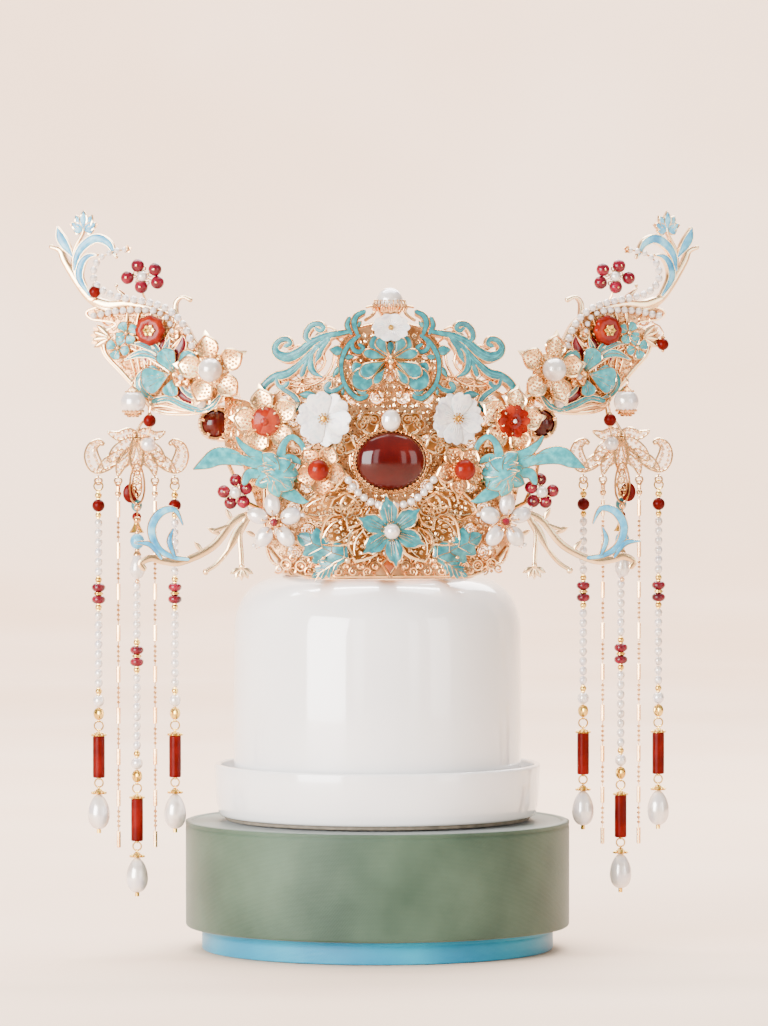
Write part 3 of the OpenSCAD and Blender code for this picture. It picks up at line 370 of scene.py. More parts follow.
# %% Filigree
def inside(x, z, outline):
    """True where a level ray from the point crosses the outline an odd number of times."""
    a, b = np.asarray(outline, float), np.roll(np.asarray(outline, float), -1, axis=0)
    x, z = np.asarray(x)[..., None], np.asarray(z)[..., None]
    spans = (a[:, 1] > z) != (b[:, 1] > z)
    rise = np.where(b[:, 1] == a[:, 1], TINY, b[:, 1] - a[:, 1])
    crossing = a[:, 0] + (z - a[:, 1]) * (b[:, 0] - a[:, 0]) / rise
    return (spans & (x < crossing)).sum(-1) % 2 == 1


def margin(x, z, outline):
    """Distance from each point to the nearest side of the outline."""
    a, b = np.asarray(outline, float), np.roll(np.asarray(outline, float), -1, axis=0)
    p = np.stack([x, z], -1)[..., None, :]
    share = np.clip(((p - a) * (b - a)).sum(-1) / np.maximum(((b - a) ** 2).sum(-1), TINY), 0, 1)
    return np.linalg.norm(p - a - share[..., None] * (b - a), axis=-1).min(-1)


def grid_inside(outline, pitch, edge, row_share=0.87, wander=0.12):
    """Points of a staggered grid, rows of even triangles, inside the outline and clear of its edge."""
    low, high = np.min(outline, axis=0), np.max(outline, axis=0)
    rows = np.arange(low[1], high[1], pitch * row_share)
    cols = np.arange(low[0] - pitch, high[0], pitch)
    stagger = (np.arange(len(rows)) % 2)[:, None] * pitch / 2
    x = (cols[None] + stagger + rng.uniform(-wander, wander, (len(rows), 1))).ravel()
    z = np.repeat(rows, len(cols))
    keep = inside(x, z, outline) & (margin(x, z, outline) > edge)
    return x[keep], z[keep]


def curls(x, z, size, place, out=0.0, radius=0.24, turns=1.35, steps=9, sides=3, paint=0):
    """Spiral wires: the angle grows evenly while the radius shrinks from the full size to a fifth."""
    t = np.linspace(0, 1, steps)[None]
    hand = rng.choice([-1, 1], len(x))[:, None]
    angle = rng.uniform(0, 2 * np.pi, len(x))[:, None] + hand * 2 * np.pi * turns * t
    r = np.broadcast_to(size, len(x))[:, None] * (1 - 0.8 * t)
    u, v = np.asarray(x)[:, None] + r * np.cos(angle), np.asarray(z)[:, None] + r * np.sin(angle)
    h = np.full(u.shape, float(out))
    return painted(wires(place(u, v, h), radius, sides, away_from(place, u, v, h)), paint)


def drawn(knots, place, radius, out=0.0, n=5, sides=5, paint=0):
    """Round wire along knots of x and z on a sheet."""
    line = smooth(knots, n)
    h = np.full(len(line), float(out))
    path = place(line[:, 0], line[:, 1], h)
    return painted(wires(path, radius, sides, away_from(place, line[:, 0], line[:, 1], h)[None]), paint)


def loops(x, z, size, place, out=0.0, radius=0.3, steps=12, sides=4, paint=0):
    """Closed round links that lie on a sheet."""
    turn = 2 * np.pi * np.arange(steps) / steps
    u = np.asarray(x, float)[:, None] + np.broadcast_to(size, len(x))[:, None] * np.cos(turn)
    v = np.asarray(z, float)[:, None] + np.broadcast_to(size, len(x))[:, None] * np.sin(turn)
    h = np.full(u.shape, float(out))
    return painted(wires(place(u, v, h), radius, sides, away_from(place, u, v, h), looped=True), paint)


def beads_on(x, z, size, place, out=0.0, cols=6, rows=4, paint=0):
    """Small balls set on a sheet."""
    x, z = np.asarray(x, float), np.asarray(z, float)
    return painted(balls(place(x, z, np.full(len(x), float(out))), size, cols, rows), paint)


# %% [markdown]
# Finishes. Metal, enamel, pearl and stone differ in how evenly they reflect, so each has its own
# roughness and coat, and a soft noise that lets the colour wander. Scales are features per metre,
# because every object lies at the origin and reads Object coordinates.

# %% Finishes
def hue(code):
    """Linear colour from a hex code: the screen curve is taken off each channel."""
    channels = [int(code[i:i + 2], 16) / 255 for i in (1, 3, 5)]
    return [c / 12.92 if c <= 0.04045 else ((c + 0.055) / 1.055) ** 2.4 for c in channels] + [1.0]


def feed(tree, slot, value):
    """Links an input to another node's socket, or sets it to a value."""
    if isinstance(value, bpy.types.NodeSocket):
        tree.links.new(value, slot)
    else:
        slot.default_value = value


def add_node(tree, kind, **inputs):
    """Adds a node and feeds its inputs; a low line stands for the space in an input's name."""
    made = tree.nodes.new("ShaderNode" + kind)
    for key, value in inputs.items():
        feed(tree, made.inputs[key.replace("_", " ")], value)
    return made


def reckoned(tree, operation, *values):
    """Output of a math node on sockets or numbers."""
    made = tree.nodes.new("ShaderNodeMath")
    made.operation = operation
    for slot, value in zip(made.inputs, values):
        feed(tree, slot, value)
    return made.outputs[0]


def ramp(tree, share, tones, low, high):
    """Colours spread evenly over the shares from low to high."""
    made = add_node(tree, "ValToRGB", Fac=share)
    stops = made.color_ramp.elements
    stops[0].position, stops[1].position = low, high
    for at in np.linspace(low, high, len(tones))[1:-1]:
        stops.new(at)
    for stop, tone in zip(stops, tones):
        stop.color = tone
    return made.outputs["Color"]


def new_material(name):
    """Material, its node tree and its shader."""
    material = bpy.data.materials.new(name)
    material.use_nodes = True
    return material, material.node_tree, material.node_tree.nodes["Principled BSDF"]


def finish(name, tones, rough, scale, grain, detail=3.0, **inputs):
    """Principled finish. The base colour wanders between the tones with a noise, over a fine bump."""
    material, tree, shader = new_material(name)
    place = add_node(tree, "TexCoord").outputs["Object"]
    cloud = add_node(tree, "TexNoise", Vector=place, Scale=scale, Detail=detail).outputs["Fac"]
    fine = add_node(tree, "TexNoise", Vector=place, Scale=grain[0]).outputs["Fac"]
    bump = add_node(tree, "Bump", Height=fine, Strength=grain[1], Distance=0.0004).outputs["Normal"]
    colour = ramp(tree, cloud, [hue(tone) for tone in tones.split()], 0.32, 0.68)
    for key, value in {"Base Color": colour, "Normal": bump, "Roughness": rough, **inputs}.items():
        feed(tree, shader.inputs[key.replace("_", " ")], value)
    return material


def metal(name, tones, rough, scale=90, grain=(900, 0.05)):
    """Polished metal."""
    return finish(name, tones, rough, scale, grain, Metallic=1.0)


def glazed(name, tones, rough, scale, grain, coat, gloss=0.5, detail=3.0, **inputs):
    """Body under a clear coat of that weight and roughness; gloss is the body's own reflection."""
    return finish(name, tones, rough, scale, grain, detail, Coat_Weight=coat[0], Coat_Roughness=coat[1],
                  Specular_IOR_Level=gloss, **inputs)


gold = metal("rose_gold", "#DBA266 #F8D2A0", 0.2)
pale_gold = metal("pale_gold", "#EEC590 #FFE2B6", 0.2)
# The next two golds are painted shade: gold darkened for the recesses, the sheets behind the wire and the
# shadow sides. The second is darker still.
painted_shade_gold = metal("painted_shade_gold", "#9C6840 #DCAA7A", 0.3, 160, (1800, 0.2))
painted_deep_shade_gold = metal("painted_deep_shade_gold", "#5E3418 #94602F", 0.34, 160, (1800, 0.2))
yellow_gold = metal("yellow_gold", "#CF9E3C #F2D076", 0.18, 120)
turquoise = glazed("turquoise_enamel", "#0F5660 #166C74 #308A8E", 0.34, 420, (900, 0.15), (0.35, 0.15), 0.35,
                   6)
light_turquoise = glazed("light_turquoise", "#1A7882 #2E9098 #4CAAAE", 0.32, 420, (900, 0.15), (0.35, 0.15),
                         0.35, 6)
sky = glazed("sky_enamel", "#1A78A6 #3F9AC0 #7CC0D6", 0.3, 200, (900, 0.05), (0.4, 0.1), 0.35, 4)
red_enamel = glazed("red_enamel", "#4A0308 #7C0A12", 0.2, 150, (900, 0.05), (0.3, 0.05), 0.2)
pearl = glazed("pearl", "#D4C5BA #ECE1D8 #DAD2D6", 0.2, 160, (500, 0.03), (0.9, 0.04), detail=2,
               Metallic=0.35, Thin_Film_Thickness=420.0, Thin_Film_IOR=1.55)
shell = glazed("mother_of_pearl", "#BDBAC0 #DFD9D4 #C3CCCD", 0.3, 420, (700, 0.15), (0.6, 0.12), detail=4,
               Thin_Film_Thickness=350.0, Thin_Film_IOR=1.5)
dark_carnelian = glazed("dark_carnelian", "#280202 #3C0403 #540E07", 0.12, 45, (300, 0.01), (0.3, 0.02),
                        0.16)
carnelian = glazed("carnelian", "#5E0B02 #781403 #942A06", 0.16, 120, (400, 0.02), (0.12, 0.03), 0.1)
rose_stone = glazed("rose_carnelian", "#7A1C0C #9C3E28", 0.14, 140, (400, 0.02), (0.2, 0.03), 0.15)
coral = glazed("coral", "#460201 #560301 #6A0903", 0.32, 130, (500, 0.03), (0.06, 0.05), 0.06)
ruby = glazed("ruby_glass", "#480212 #66051A #84092A", 0.1, 200, (400, 0.02), (0.3, 0.02), 0.2)
amber = glazed("amber", "#5A1E06 #8E3E10", 0.14, 150, (400, 0.02), (0.5, 0.03))
porcelain = glazed("porcelain", "#E4E2E1 #EFEDEC", 0.14, 12, (60, 0.02), (0.8, 0.03))
biscuit = finish("unglazed_ring", "#6F665A #8A7E6F", 0.7, 300, (1500, 0.2))
print("materials:", len(bpy.data.materials))

# %% [markdown]
# The stand is turned ware and a cloth-covered box. All of it is round, so each piece is a profile
# turned about the axis. Radii and heights come from the frame's boxes; only the small roundings,
# the foot ring and the cloth's folded edges are added here.

# %% Stand
def node_size(node):
    """Radius, lowest and highest point of a round node, in millimetres."""
    low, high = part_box(node)
    return high[0] / MM, low[2] / MM, high[2] / MM


def rounded(corners, steps=5):
    """Profile through corners of radius, height and rounding: a corner is a blend between its two sides."""
    corners = np.asarray(corners, float)
    rows = []
    for i, (r, z, round_r) in enumerate(corners):
        if round_r == 0:
            rows.append([[r, z]])
            continue
        p, a, b = corners[i, :2], corners[i - 1, :2], corners[i + 1, :2]
        start, stop = p + unit(a - p) * round_r, p + unit(b - p) * round_r
        t = np.linspace(0, 1, steps)[:, None]
        rows.append((1 - t) ** 2 * start + 2 * t * (1 - t) * p + t**2 * stop)
    return np.vstack(rows)


dome_r, dome_low, dome_top = node_size("stand_dome")
saucer_r, ring_low, saucer_top = node_size("stand_saucer")
lid_r, lid_low, lid_top = node_size("stand_lid")
foot_r, foot_low, foot_top = node_size("stand_foot")
RIM_WALL = 2.6
floor_z = dome_low - 0.3

dome = lathe(rounded([[0, dome_low, 0], [dome_r - 3, dome_low, 0], [dome_r - 0.4, dome_low + 0.6, 0.5],
                      [dome_r, dome_low + 40, 20], [dome_r - 0.6, dome_top, 25], [0, dome_top, 0]], 16), 128)
piece("dome", [dome], [porcelain], ["stand_dome"])
saucer = lathe(rounded([[0, ring_low + 1.6, 0], [saucer_r - 5, ring_low + 1.6, 0],
                        [saucer_r - 2, ring_low + 1.7, 1.4], [saucer_r - 0.6, ring_low + 8, 4],
                        [saucer_r, saucer_top, 1.3], [saucer_r - RIM_WALL, saucer_top, 1.2],
                        [saucer_r - RIM_WALL - 0.4, floor_z, 1.5], [0, floor_z, 0]]), 128)
ring = lathe(rounded([[saucer_r - 9, ring_low + 1.9, 0], [saucer_r - 8.5, ring_low, 0.5],
                      [saucer_r - 4.5, ring_low, 0.8], [saucer_r - 4, ring_low + 1.9, 0]]), 128)
piece("saucer", [saucer, painted(ring, 1)], [porcelain, biscuit], ["stand_saucer"])

# %% [markdown]
# Satin shows its weave as a fine twill. The nodes turn Object coordinates into the way round the
# box and the height, so that one wave runs along the weft and another crosses it at a slant.

# %% Cloth
def satin(name, tones, radius, rough, slant=24):
    """Woven satin on a round box: waves across the height and at a slant, and a slow change of tone."""
    material, tree, shader = new_material(name)
    place = add_node(tree, "TexCoord").outputs["Object"]
    x, y, height = add_node(tree, "SeparateXYZ", Vector=place).outputs
    way = reckoned(tree, "MULTIPLY", reckoned(tree, "ARCTAN2", x, y), radius * MM)
    sheet = add_node(tree, "CombineXYZ", X=way, Y=height).outputs[0]
    slanted = add_node(tree, "Mapping", Vector=sheet, Rotation=(0, 0, math.radians(slant))).outputs[0]
    twills = []
    for direction, scale, source in (("Y", 620, sheet), ("X", 540, slanted)):
        wave = add_node(tree, "TexWave", Vector=source, Scale=scale, Distortion=1.2, Detail=2.0,
                        Detail_Scale=1.5)
        wave.bands_direction = direction
        twills.append(wave.outputs["Fac"])
    weave = reckoned(tree, "MULTIPLY", *twills)
    cloud = add_node(tree, "TexNoise", Vector=place, Scale=26, Detail=5).outputs["Fac"]
    share = reckoned(tree, "MULTIPLY_ADD", weave, 0.25, cloud)
    bump = add_node(tree, "Bump", Height=weave, Strength=0.35, Distance=0.0003).outputs["Normal"]
    feed(tree, shader.inputs["Base Color"],
         ramp(tree, share, [hue(tone) for tone in tones.split()], 0.35, 0.85))
    feed(tree, shader.inputs["Normal"], bump)
    for key, value in (("Roughness", rough), ("Sheen Weight", 0.2), ("Sheen Roughness", 0.4),
                       ("Specular IOR Level", 0.25)):
        shader.inputs[key].default_value = value
    return material


green_satin = satin("green_satin", "#24382B #4A5E4C", lid_r, 0.5)
blue_satin = satin("blue_satin", "#036A8E #1696B2", foot_r, 0.36)


def box_side(r, low, top, lip, sides=112, ripple=0.25):
    """Covered box: a profile with folded edges, whose radius wanders a little as glued cloth does."""
    cloth = lathe(rounded([[0, low, 0], [r - lip, low, 0], [r, low, lip], [r, top - 2.2, 1.2],
                           [r - 0.35, top - 1.6, 0.5], [r, top - 0.9, 0.5], [r, top, lip],
                           [r - 2.6, top, 0.6], [r - 3.4, top - 0.5, 0.5], [0, top - 0.5, 0]]), sides)
    x, y, z = cloth["points"].T
    angle = np.arctan2(y, x)
    wander = ripple * (0.5 * np.sin(3 * angle + 0.08 * z) + 0.3 * np.sin(7 * angle - 0.11 * z + 1)) - ripple
    away = np.hypot(x, y) > r - 4
    grow = np.where(away, 1 + wander / r, 1)
    cloth["points"] = np.stack([x * grow, y * grow, z], -1)
    return cloth


piece("box_lid", [box_side(lid_r, lid_low, lid_top, 1.4)], [green_satin], ["stand_lid"])
piece("box_foot", [box_side(foot_r, foot_low, foot_top, 0.8, ripple=0.12)], [blue_satin],
      ["stand_foot"])

# %% [markdown]
# Each tassel has three strings of beads. A string is written as a list of beads from the top down,
# with each bead's kind and the height it takes, so that the strings are easy to change.

# %% Beads
PEARL, CORAL, RUBY, BLUE = range(1, 5)
bead_finishes = [yellow_gold, pearl, coral, ruby, turquoise]
PEARL_D, PITCH, STRAND_TOP = 3.4, 4.0, 195.6
TASSEL_X, TASSEL_Y, STRAND_STEP = 101.0, 9.6, 15.8


def link(z, size=3.0, wire=0.4, turn=0.0):
    """Open round link seen from the front."""
    angle = 2 * np.pi * np.arange(18) / 18
    c, s = math.cos(turn), math.sin(turn)
    path = np.stack([size / 2 * np.cos(angle) * c, size / 2 * np.cos(angle) * s,
                     z + size / 2 * np.sin(angle)], -1)
    return wires(path, wire, 6, (s, -c, 0), looped=True)


def oval(d, h, z=0.0, cols=14, rows=9):
    """Bead of a width and a height on the string's axis."""
    return balls([[0, 0, z]], np.array([[d / 2, d / 2, h / 2]]), cols, rows)


def ring_of_grains(count, radius, z, size, at=(0, 0, 0)):
    """Grains round an upright axis."""
    turn = 2 * np.pi * np.arange(count) / count
    centres = np.stack([radius * np.cos(turn), radius * np.sin(turn), np.full(count, z)], -1)
    return balls(at + centres, size, 6, 4)


def gold_ball(h):
    """Bored gold ball."""
    return [oval(min(h, 3.4), h - 0.1), lathe([[0.9, -h / 2], [0.9, h / 2]], 8)]


def small_pearl(h):
    """Pearl of the pearl rows, or the larger one where more height is given."""
    return [painted(oval(PEARL_D if h < 5 else 5.0, min(h, 5.2) - 0.1, cols=10, rows=7), PEARL)]


def coral_ball(h):
    """Round coral bead."""
    return [painted(oval(h - 0.1, h - 0.1, cols=16, rows=10), CORAL)]


def rondelle(h):
    """Flat glass bead ground into facets: two rings of ten flats above and below the girdle."""
    half = [[1.0, h / 2], [2.0, 0.42 * h], [2.75, 0.2 * h], [2.85, 0.06 * h]]
    return [painted(lathe(half + [[r, -z] for r, z in half[::-1]], 10), RUBY)]


def spacer(h):
    """Flat gold ring with ten grains round it."""
    ring = lathe([[1.2, -h / 2], [1.7, -h / 2 + 0.2], [1.7, h / 2 - 0.2], [1.2, h / 2]], 14)
    return [ring, ring_of_grains(10, 1.6, 0, 0.42)]


def gold_oval(h):
    """Melon bead: an oval with twelve soft ribs."""
    bead = oval(4.2, h, cols=36, rows=9)
    x, y, z = bead["points"].T
    swell = 1 + 0.05 * np.cos(12 * np.arctan2(y, x))
    bead["points"] = np.stack([x * swell, y * swell, z], -1)
    return [bead]


def open_link(h):
    """Round link with a small link across it above and below."""
    small = [link(sign * (h / 2 - 0.2), 1.3, 0.25, math.pi / 2) for sign in (1, -1)]
    return [link(0, h - 0.9, 0.32), *small]


def grain_cap(h, r=2.7):
    """Cap of gold grains round a small cone."""
    cone = lathe([[0.5, h / 2], [1.0, h / 2 - 0.3], [r - 0.6, -h / 2 + 0.5], [r - 0.5, -h / 2]], 16)
    return [cone, ring_of_grains(10, r, -h / 2 + 0.5, 0.62), ring_of_grains(7, r - 1.1, -h / 2 + 1.1, 0.4)]


def coral_tube(h):
    """Long coral tube with rounded ends on a gold pin."""
    upper = [[2.52, 0], [2.5, h / 2 - 0.35], [2.2, h / 2], [0.8, h / 2]]
    tube = lathe([[r, -z] for r, z in upper[:0:-1]] + upper, 28)
    return [painted(tube, CORAL), lathe([[0.5, -h / 2 - 0.6], [0.9, -h / 2 - 0.1], [0.9, -h / 2 + 0.2]], 10)]


def drop_half(t):
    """Half width of a drop of width 1 at the share t from its foot: full below, drawn in above."""
    return 0.5 * np.sqrt(np.sin(np.pi * t**0.78))


def pearl_drop(h, d=9.2):
    """Drop pearl."""
    t = (0.5 - 0.5 * np.cos(np.linspace(0.04, np.pi - 0.12, 22)))
    drop = lathe(np.stack([d * drop_half(t), h * (t - 0.5)], -1), 24)
    return [painted(drop, PEARL)]


def blue_oval(h):
    """Turquoise bead."""
    return [painted(oval(4.6, h - 0.1, cols=20, rows=11), BLUE)]


def lotus_cap(h):
    """Open cup of eight small petals that hangs like a bell."""
    shares = np.linspace(0, 1, 7)
    r = 1.0 + 1.9 * shares**1.4
    z = h / 2 - h * shares
    bell = lathe(np.concatenate([np.stack([r, z], -1), np.stack([r[::-1] - 0.35, z[::-1] + 0.1], -1)]), 48)
    x, y, z = bell["points"].T
    scallop = 1 + 0.1 * np.abs(np.cos(4 * np.arctan2(y, x))) * np.clip((h / 2 - z) / h, 0, 1)
    bell["points"] = np.stack([x * scallop, y * scallop, z], -1)
    return [bell]


GOLD_BALL, SMALL_PEARL, CORAL_BALL, RONDELLE, SPACER, GOLD_OVAL = range(6)
OPEN_LINK, GRAIN_CAP, CORAL_TUBE, PEARL_DROP, BLUE_OVAL, LOTUS_CAP = range(6, 12)
makers = [gold_ball, small_pearl, coral_ball, rondelle, spacer, gold_oval,
          open_link, grain_cap, coral_tube, pearl_drop, blue_oval, lotus_cap]
ROW_PEARL = (SMALL_PEARL, PITCH)
MIDDLE_SIX = [(GOLD_BALL, 2.8), (RONDELLE, 3.6), (SPACER, 1.4), (RONDELLE, 3.6), (GOLD_BALL, 2.8)]


def lower_beads(tube):
    """Lower part of a string: pearls, two glass beads and a coral tube of that length over a drop pearl."""
    return MIDDLE_SIX + [ROW_PEARL] * 8 + [
        (GOLD_BALL, 2.8), (SMALL_PEARL, 5.2), (GOLD_OVAL, 5.4), (OPEN_LINK, 4.6), (GRAIN_CAP, 2),
        (CORAL_TUBE, tube), (OPEN_LINK, 4.4), (GRAIN_CAP, 2.4), (PEARL_DROP, 14.6), (GOLD_BALL, 1.6)]


side_beads = [(OPEN_LINK, 4.6), (GOLD_BALL, 3), (CORAL_BALL, 5.4), (GOLD_BALL, 2.6), *[ROW_PEARL] * 6,
              *lower_beads(17.2)]
middle_beads = [(OPEN_LINK, 4.6), (GOLD_BALL, 3), (BLUE_OVAL, 5.4), (CORAL_BALL, 4), (LOTUS_CAP, 4.6),
                *[ROW_PEARL] * 11, *lower_beads(17.6)]


def strand(beads):
    """Beads of a string under its link, each in the middle of the height that it takes."""
    z, shapes = STRAND_TOP, []
    for kind, height in beads:
        shapes += [moved(a, [0, 0, z - height / 2]) for a in makers[kind](height)]
        z -= height
    return joined(shapes)


def chain_of_bars(top, low, unit_length=17.1, bar_length=7.2, grains=4):
    """Fine chain: a bar, then grains on short wires, and again, down to a last bar."""
    shapes = []
    count = int((top - low) / unit_length) + 1
    for i in range(count):
        z = low + i * unit_length
        shapes.append(lathe([[0.3, z], [0.85, z + 0.3], [0.85, z + bar_length - 0.3], [0.3, z + bar_length]],
                            8))
        room = (unit_length - bar_length) / (grains + 1)
        heights = z + bar_length + room * (1 + np.arange(grains))
        heights = heights[heights < top]
        shapes.append(balls(np.stack([0 * heights, 0 * heights, heights], -1), 0.78, 6, 4))
    shapes.append(lathe([[0.22, low + bar_length], [0.22, top]], 5))
    return joined(shapes)


side_strand, middle_strand = strand(side_beads), strand(middle_beads)
CHAIN_STEP = 7.6
chain = chain_of_bars(193.2, 43.4)
chain_top = joined([link(194.2, 2.0, 0.3), *[moved(a, [0, 0, 190.2]) for a in gold_ball(2.8)],
                    lathe([[0.5, 191.4], [0.9, 191.8], [0.9, 193.2], [0.5, 193.4]], 8)])
for side in ("left", "right"):
    for row, step, beads in (("outer", 1, side_strand), ("middle", 0, middle_strand),
                             ("inner", -1, side_strand)):
        hung = moved(beads, [TASSEL_X + step * STRAND_STEP, -TASSEL_Y, 0])
        stands_for = [f"{row}_strand_{side}"] + (["strand_wires"] if (side, step) == ("left", 1) else [])
        piece(f"{row}_strand_{side}", [mirrored(hung) if side == "left" else hung], bead_finishes,
              stands_for)
    chains = [moved(a, [TASSEL_X + m * CHAIN_STEP, -TASSEL_Y, 0])
              for m in (-1, 1) for a in (chain, chain_top)]
    if side == "left":
        chains = [mirrored(a) for a in chains]
    piece(f"bar_chains_{side}", chains, [gold], [f"bar_chains_{side}"])

# %% [markdown]
# Small parts stand on the sheets: cabochons, turned caps and flowers of bent petals. Each of these
# helpers works in the little frame of a spot, where u and v lie in the sheet and h stands on it.

# %% Forms that stand on a sheet
def lump(place, u=0.0, v=0.0, h=0.0, half=(1, 1, 1), turn=0.0, cols=16, rows=9, wave=None, paint=0):
    """Oval whose pole stands away from the sheet; wave scales it by its angle and latitude."""
    lat = np.linspace(0.03, np.pi - 0.03, rows)[:, None]
    lon = 2 * np.pi * np.arange(cols) / cols
    grow = 1.0 if wave is None else wave(lon, lat)
    x, y = half[0] * np.sin(lat) * np.cos(lon) * grow, half[1] * np.sin(lat) * np.sin(lon) * grow
    z = half[2] * np.cos(lat) + 0 * lon
    c, s = math.cos(math.radians(turn)), math.sin(math.radians(turn))
    return painted(skinned(place(u + x * c - y * s, v + x * s + y * c, h + z)[None]), paint)


def turned_on(place, profile, sides=24, u=0.0, v=0.0, oval_by=(1, 1), wave=None, paint=0):
    """Lathe work that stands on a sheet, from rows of radius and height; wave scales the radius."""
    profile = np.asarray(profile, float)
    angle = 2 * np.pi * np.arange(sides) / sides
    grow = 1.0 if wave is None else wave(angle)
    x = profile[:, :1] * np.cos(angle) * grow * oval_by[0]
    y = profile[:, :1] * np.sin(angle) * grow * oval_by[1]
    return painted(skinned(place(u + x, v + y, profile[:, 1:] + 0 * x)[None]), paint)


def ball(place, r, cols=16, rows=9, u=0.0, v=0.0, h=0.0, paint=0):
    """Round bead on a sheet."""
    return lump(place, u, v, h, (r, r, r), cols=cols, rows=rows, paint=paint)


def post(place, radius, top, low, sides=16, u=0.0, paint=0):
    """Round post between two heights, which carries a flower on the sheet behind it."""
    return turned_on(place, [[0.3, top], [radius, top], [radius, low], [0.3, low - 0.1]], sides, u,
                     paint=paint)


def rod(place, points, radius, away=(1, 0, 0.2), sides=6):
    """Round wire through points of u, v and h."""
    return wires(place(*np.array(points, float).T), radius, sides, away)


def shifted(place, u=0.0, v=0.0, h=0.0):
    """The same sheet, moved along itself and out."""
    return lambda a, b, c: place(np.add(a, u), np.add(b, v), np.add(c, h))


def bent(place, lift):
    """The same sheet, raised at each u and v by the lift."""
    return lambda u, v, h: place(u, v, h + lift(u, v))


def grains_round(place, count, radius, h, size, oval_by=(1, 1), start=0.0, paint=0):
    """Ring of grains that lies on a sheet."""
    angle = start + 2 * np.pi * np.arange(count) / count
    u, v = radius * np.cos(angle) * oval_by[0], radius * np.sin(angle) * oval_by[1]
    return beads_on(u, v, size, place, h, paint=paint)


def leaf_outline(length, width, belly, steps=12):
    """Edge of a leaf: out along one side and back along the other."""
    s = np.linspace(0, 1, steps + 1)[1:-1]
    half = width * leaf_half(s, belly)
    return np.concatenate([[[0, 0]], np.stack([s * length, half], -1), [[length, 0]],
                           np.stack([s[::-1] * length, -half[::-1]], -1)])


def level(s, t):
    """Height of a flat petal."""
    return 0 * s * t


def filigree_petal(place, length, width, belly, rim=0.42, pitch=1.6, size=0.66, back=True, wire=0.16):
    """Petal of curled wire in a round frame, over a thin sheet, paint 1."""
    outline = leaf_outline(length, width, belly)
    x, z = grid_inside(outline, pitch, rim + size * 0.75)
    parts = [leaf_rim(length, width, belly, place, level, rim)]
    if len(x):
        parts += [curls(x, z, size, place, 0.1, wire, steps=8), beads_on(x, z, 0.24, place, 0.2, 5, 3)]
    if back:
        parts.append(petal(length, width, belly, place, lambda s, t: -0.12 + level(s, t), 0.3,
                           inset=rim * 0.6, paint=1))
    return parts


def flower_places(base, count, turn, tilt, cup, width, curl=0.0, length=1.0):
    """The sheets of a flower's petals, evenly turned round its middle."""
    return [turned(base, turn + 360 * i / count, tilt, cup, width, curl, length) for i in range(count)]


def filigree_flower(base, count, reach, width, belly, turn, tilt=8, cup=0.9, curl=1.2, **how):
    """Flower of filigree petals."""
    sheets = flower_places(base, count, turn, tilt, cup, width, curl, reach)
    return [a for sheet in sheets for a in filigree_petal(sheet, reach, width, belly, **how)]


def enamel_leaf(place, length, width, belly=0.5, swell=0.45, rim=0.26, thick=0.8, vein=True, lobe=None,
                rows=11):
    """Gold leaf, paint 0, with a raised edge and an enamel filling, paint 1, parted by a vein."""
    def form(s, t):
        return swell * (1 - t**2) * np.sin(np.pi * np.clip(s, 0, 1)) ** 0.5

    parts = [petal(length, width, belly, place, lambda s, t: form(s, t) - 0.25, thick, rows=rows, lobe=lobe),
             petal(length, width, belly, place, form, 0.4, inset=rim, rows=rows, paint=1, lobe=lobe)]
    if lobe is None:
        parts.append(leaf_rim(length, width, belly, place, lambda s, t: form(s, t) + 0.02, rim * 0.8,
                              inset=rim * 0.3))
    if vein:
        s = np.linspace(0.06, 0.86, 8)
        parts.append(wires(place(s * length, 0 * s, form(s, 0 * s) + 0.02), 0.16 * (1.2 - s), 5,
                           away_from(place, s * length, 0 * s, 0 * s)[None]))
    return parts


# %% [markdown]
# The wall of the crown is a pierced sheet. The frame's own node keeps its shape and gets the
# darker gold as painted shade for the recesses, and curled wire, rings and grains are laid over it
# as the maker solders them on: rings round the gaps, curls in the gaps and between them, a rope at
# the edge.

# %% Wall
wall_edge = [[0, 156.4], [34, 156.4], [42, 161], [50, 170], [50, 226], [46, 232], [36, 238], [23, 240],
             [20, 252], [12, 259], [0, 261]]
half_wall = np.array(wall_edge, float)
whole_wall = np.concatenate([half_wall, half_wall[::-1] * [-1, 1]])
def in_metal(node, metal):
    """Keeps a node of the frame and gives it another finish."""
    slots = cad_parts[node].data.materials
    slots.clear()
    slots.append(metal)


# The frame node takes the darker gold as painted shade behind the wire; hoop and side frames keep the plain
# gold.
for name, coating in (("crown_frame", painted_shade_gold), ("crown_hoop", gold), ("side_frames", gold)):
    in_metal(name, coating)

GAP_LOW, GAP_STEP, GAP_R = 167, 9.07, 3.1
gap_rows = [(x, GAP_LOW + GAP_STEP * row) for row in range(10)
            for x in ([0, 10.8, 28, 39] if row % 2 == 0 else [5.4, 15.3, 33.5, 44.5])]
gap_x, gap_z = np.array([(s * x, z) for x, z in gap_rows for s in ((-1, 1) if x else (1,))]).T
keep = inside(gap_x, gap_z, whole_wall) & (margin(gap_x, gap_z, whole_wall) > 4)
gap_x, gap_z = gap_x[keep], gap_z[keep]
wall_wire = [loops(gap_x, gap_z, GAP_R, front, 0.15, 0.4),
             curls(gap_x, gap_z, 2.3, front, -0.6, 0.34, turns=1.8, steps=14),
             loops(gap_x, gap_z, GAP_R, front, -1.75, 0.3), beads_on(gap_x, gap_z, 0.6, front, -0.5)]
curl_x, curl_z = grid_inside(whole_wall, 3.0, 1.6)
lift = rng.uniform(0.25, 0.9, len(curl_x))
near, far = lift < 0.6, lift >= 0.6
wall_wire += [curls(curl_x[near], curl_z[near], 1.35, front, 0.35, 0.27),
              curls(curl_x[far], curl_z[far], 1.25, front, 0.85, 0.27)]
grain_x, grain_z = grid_inside(whole_wall, 3.1, 1.2)
grain_r = rng.uniform(0.32, 0.5, len(grain_x))
wall_wire.append(beads_on(grain_x + 0.9, grain_z + 0.5, grain_r, front, 0.75, 5, 3))
piece("wall_filigree", wall_wire, [pale_gold])

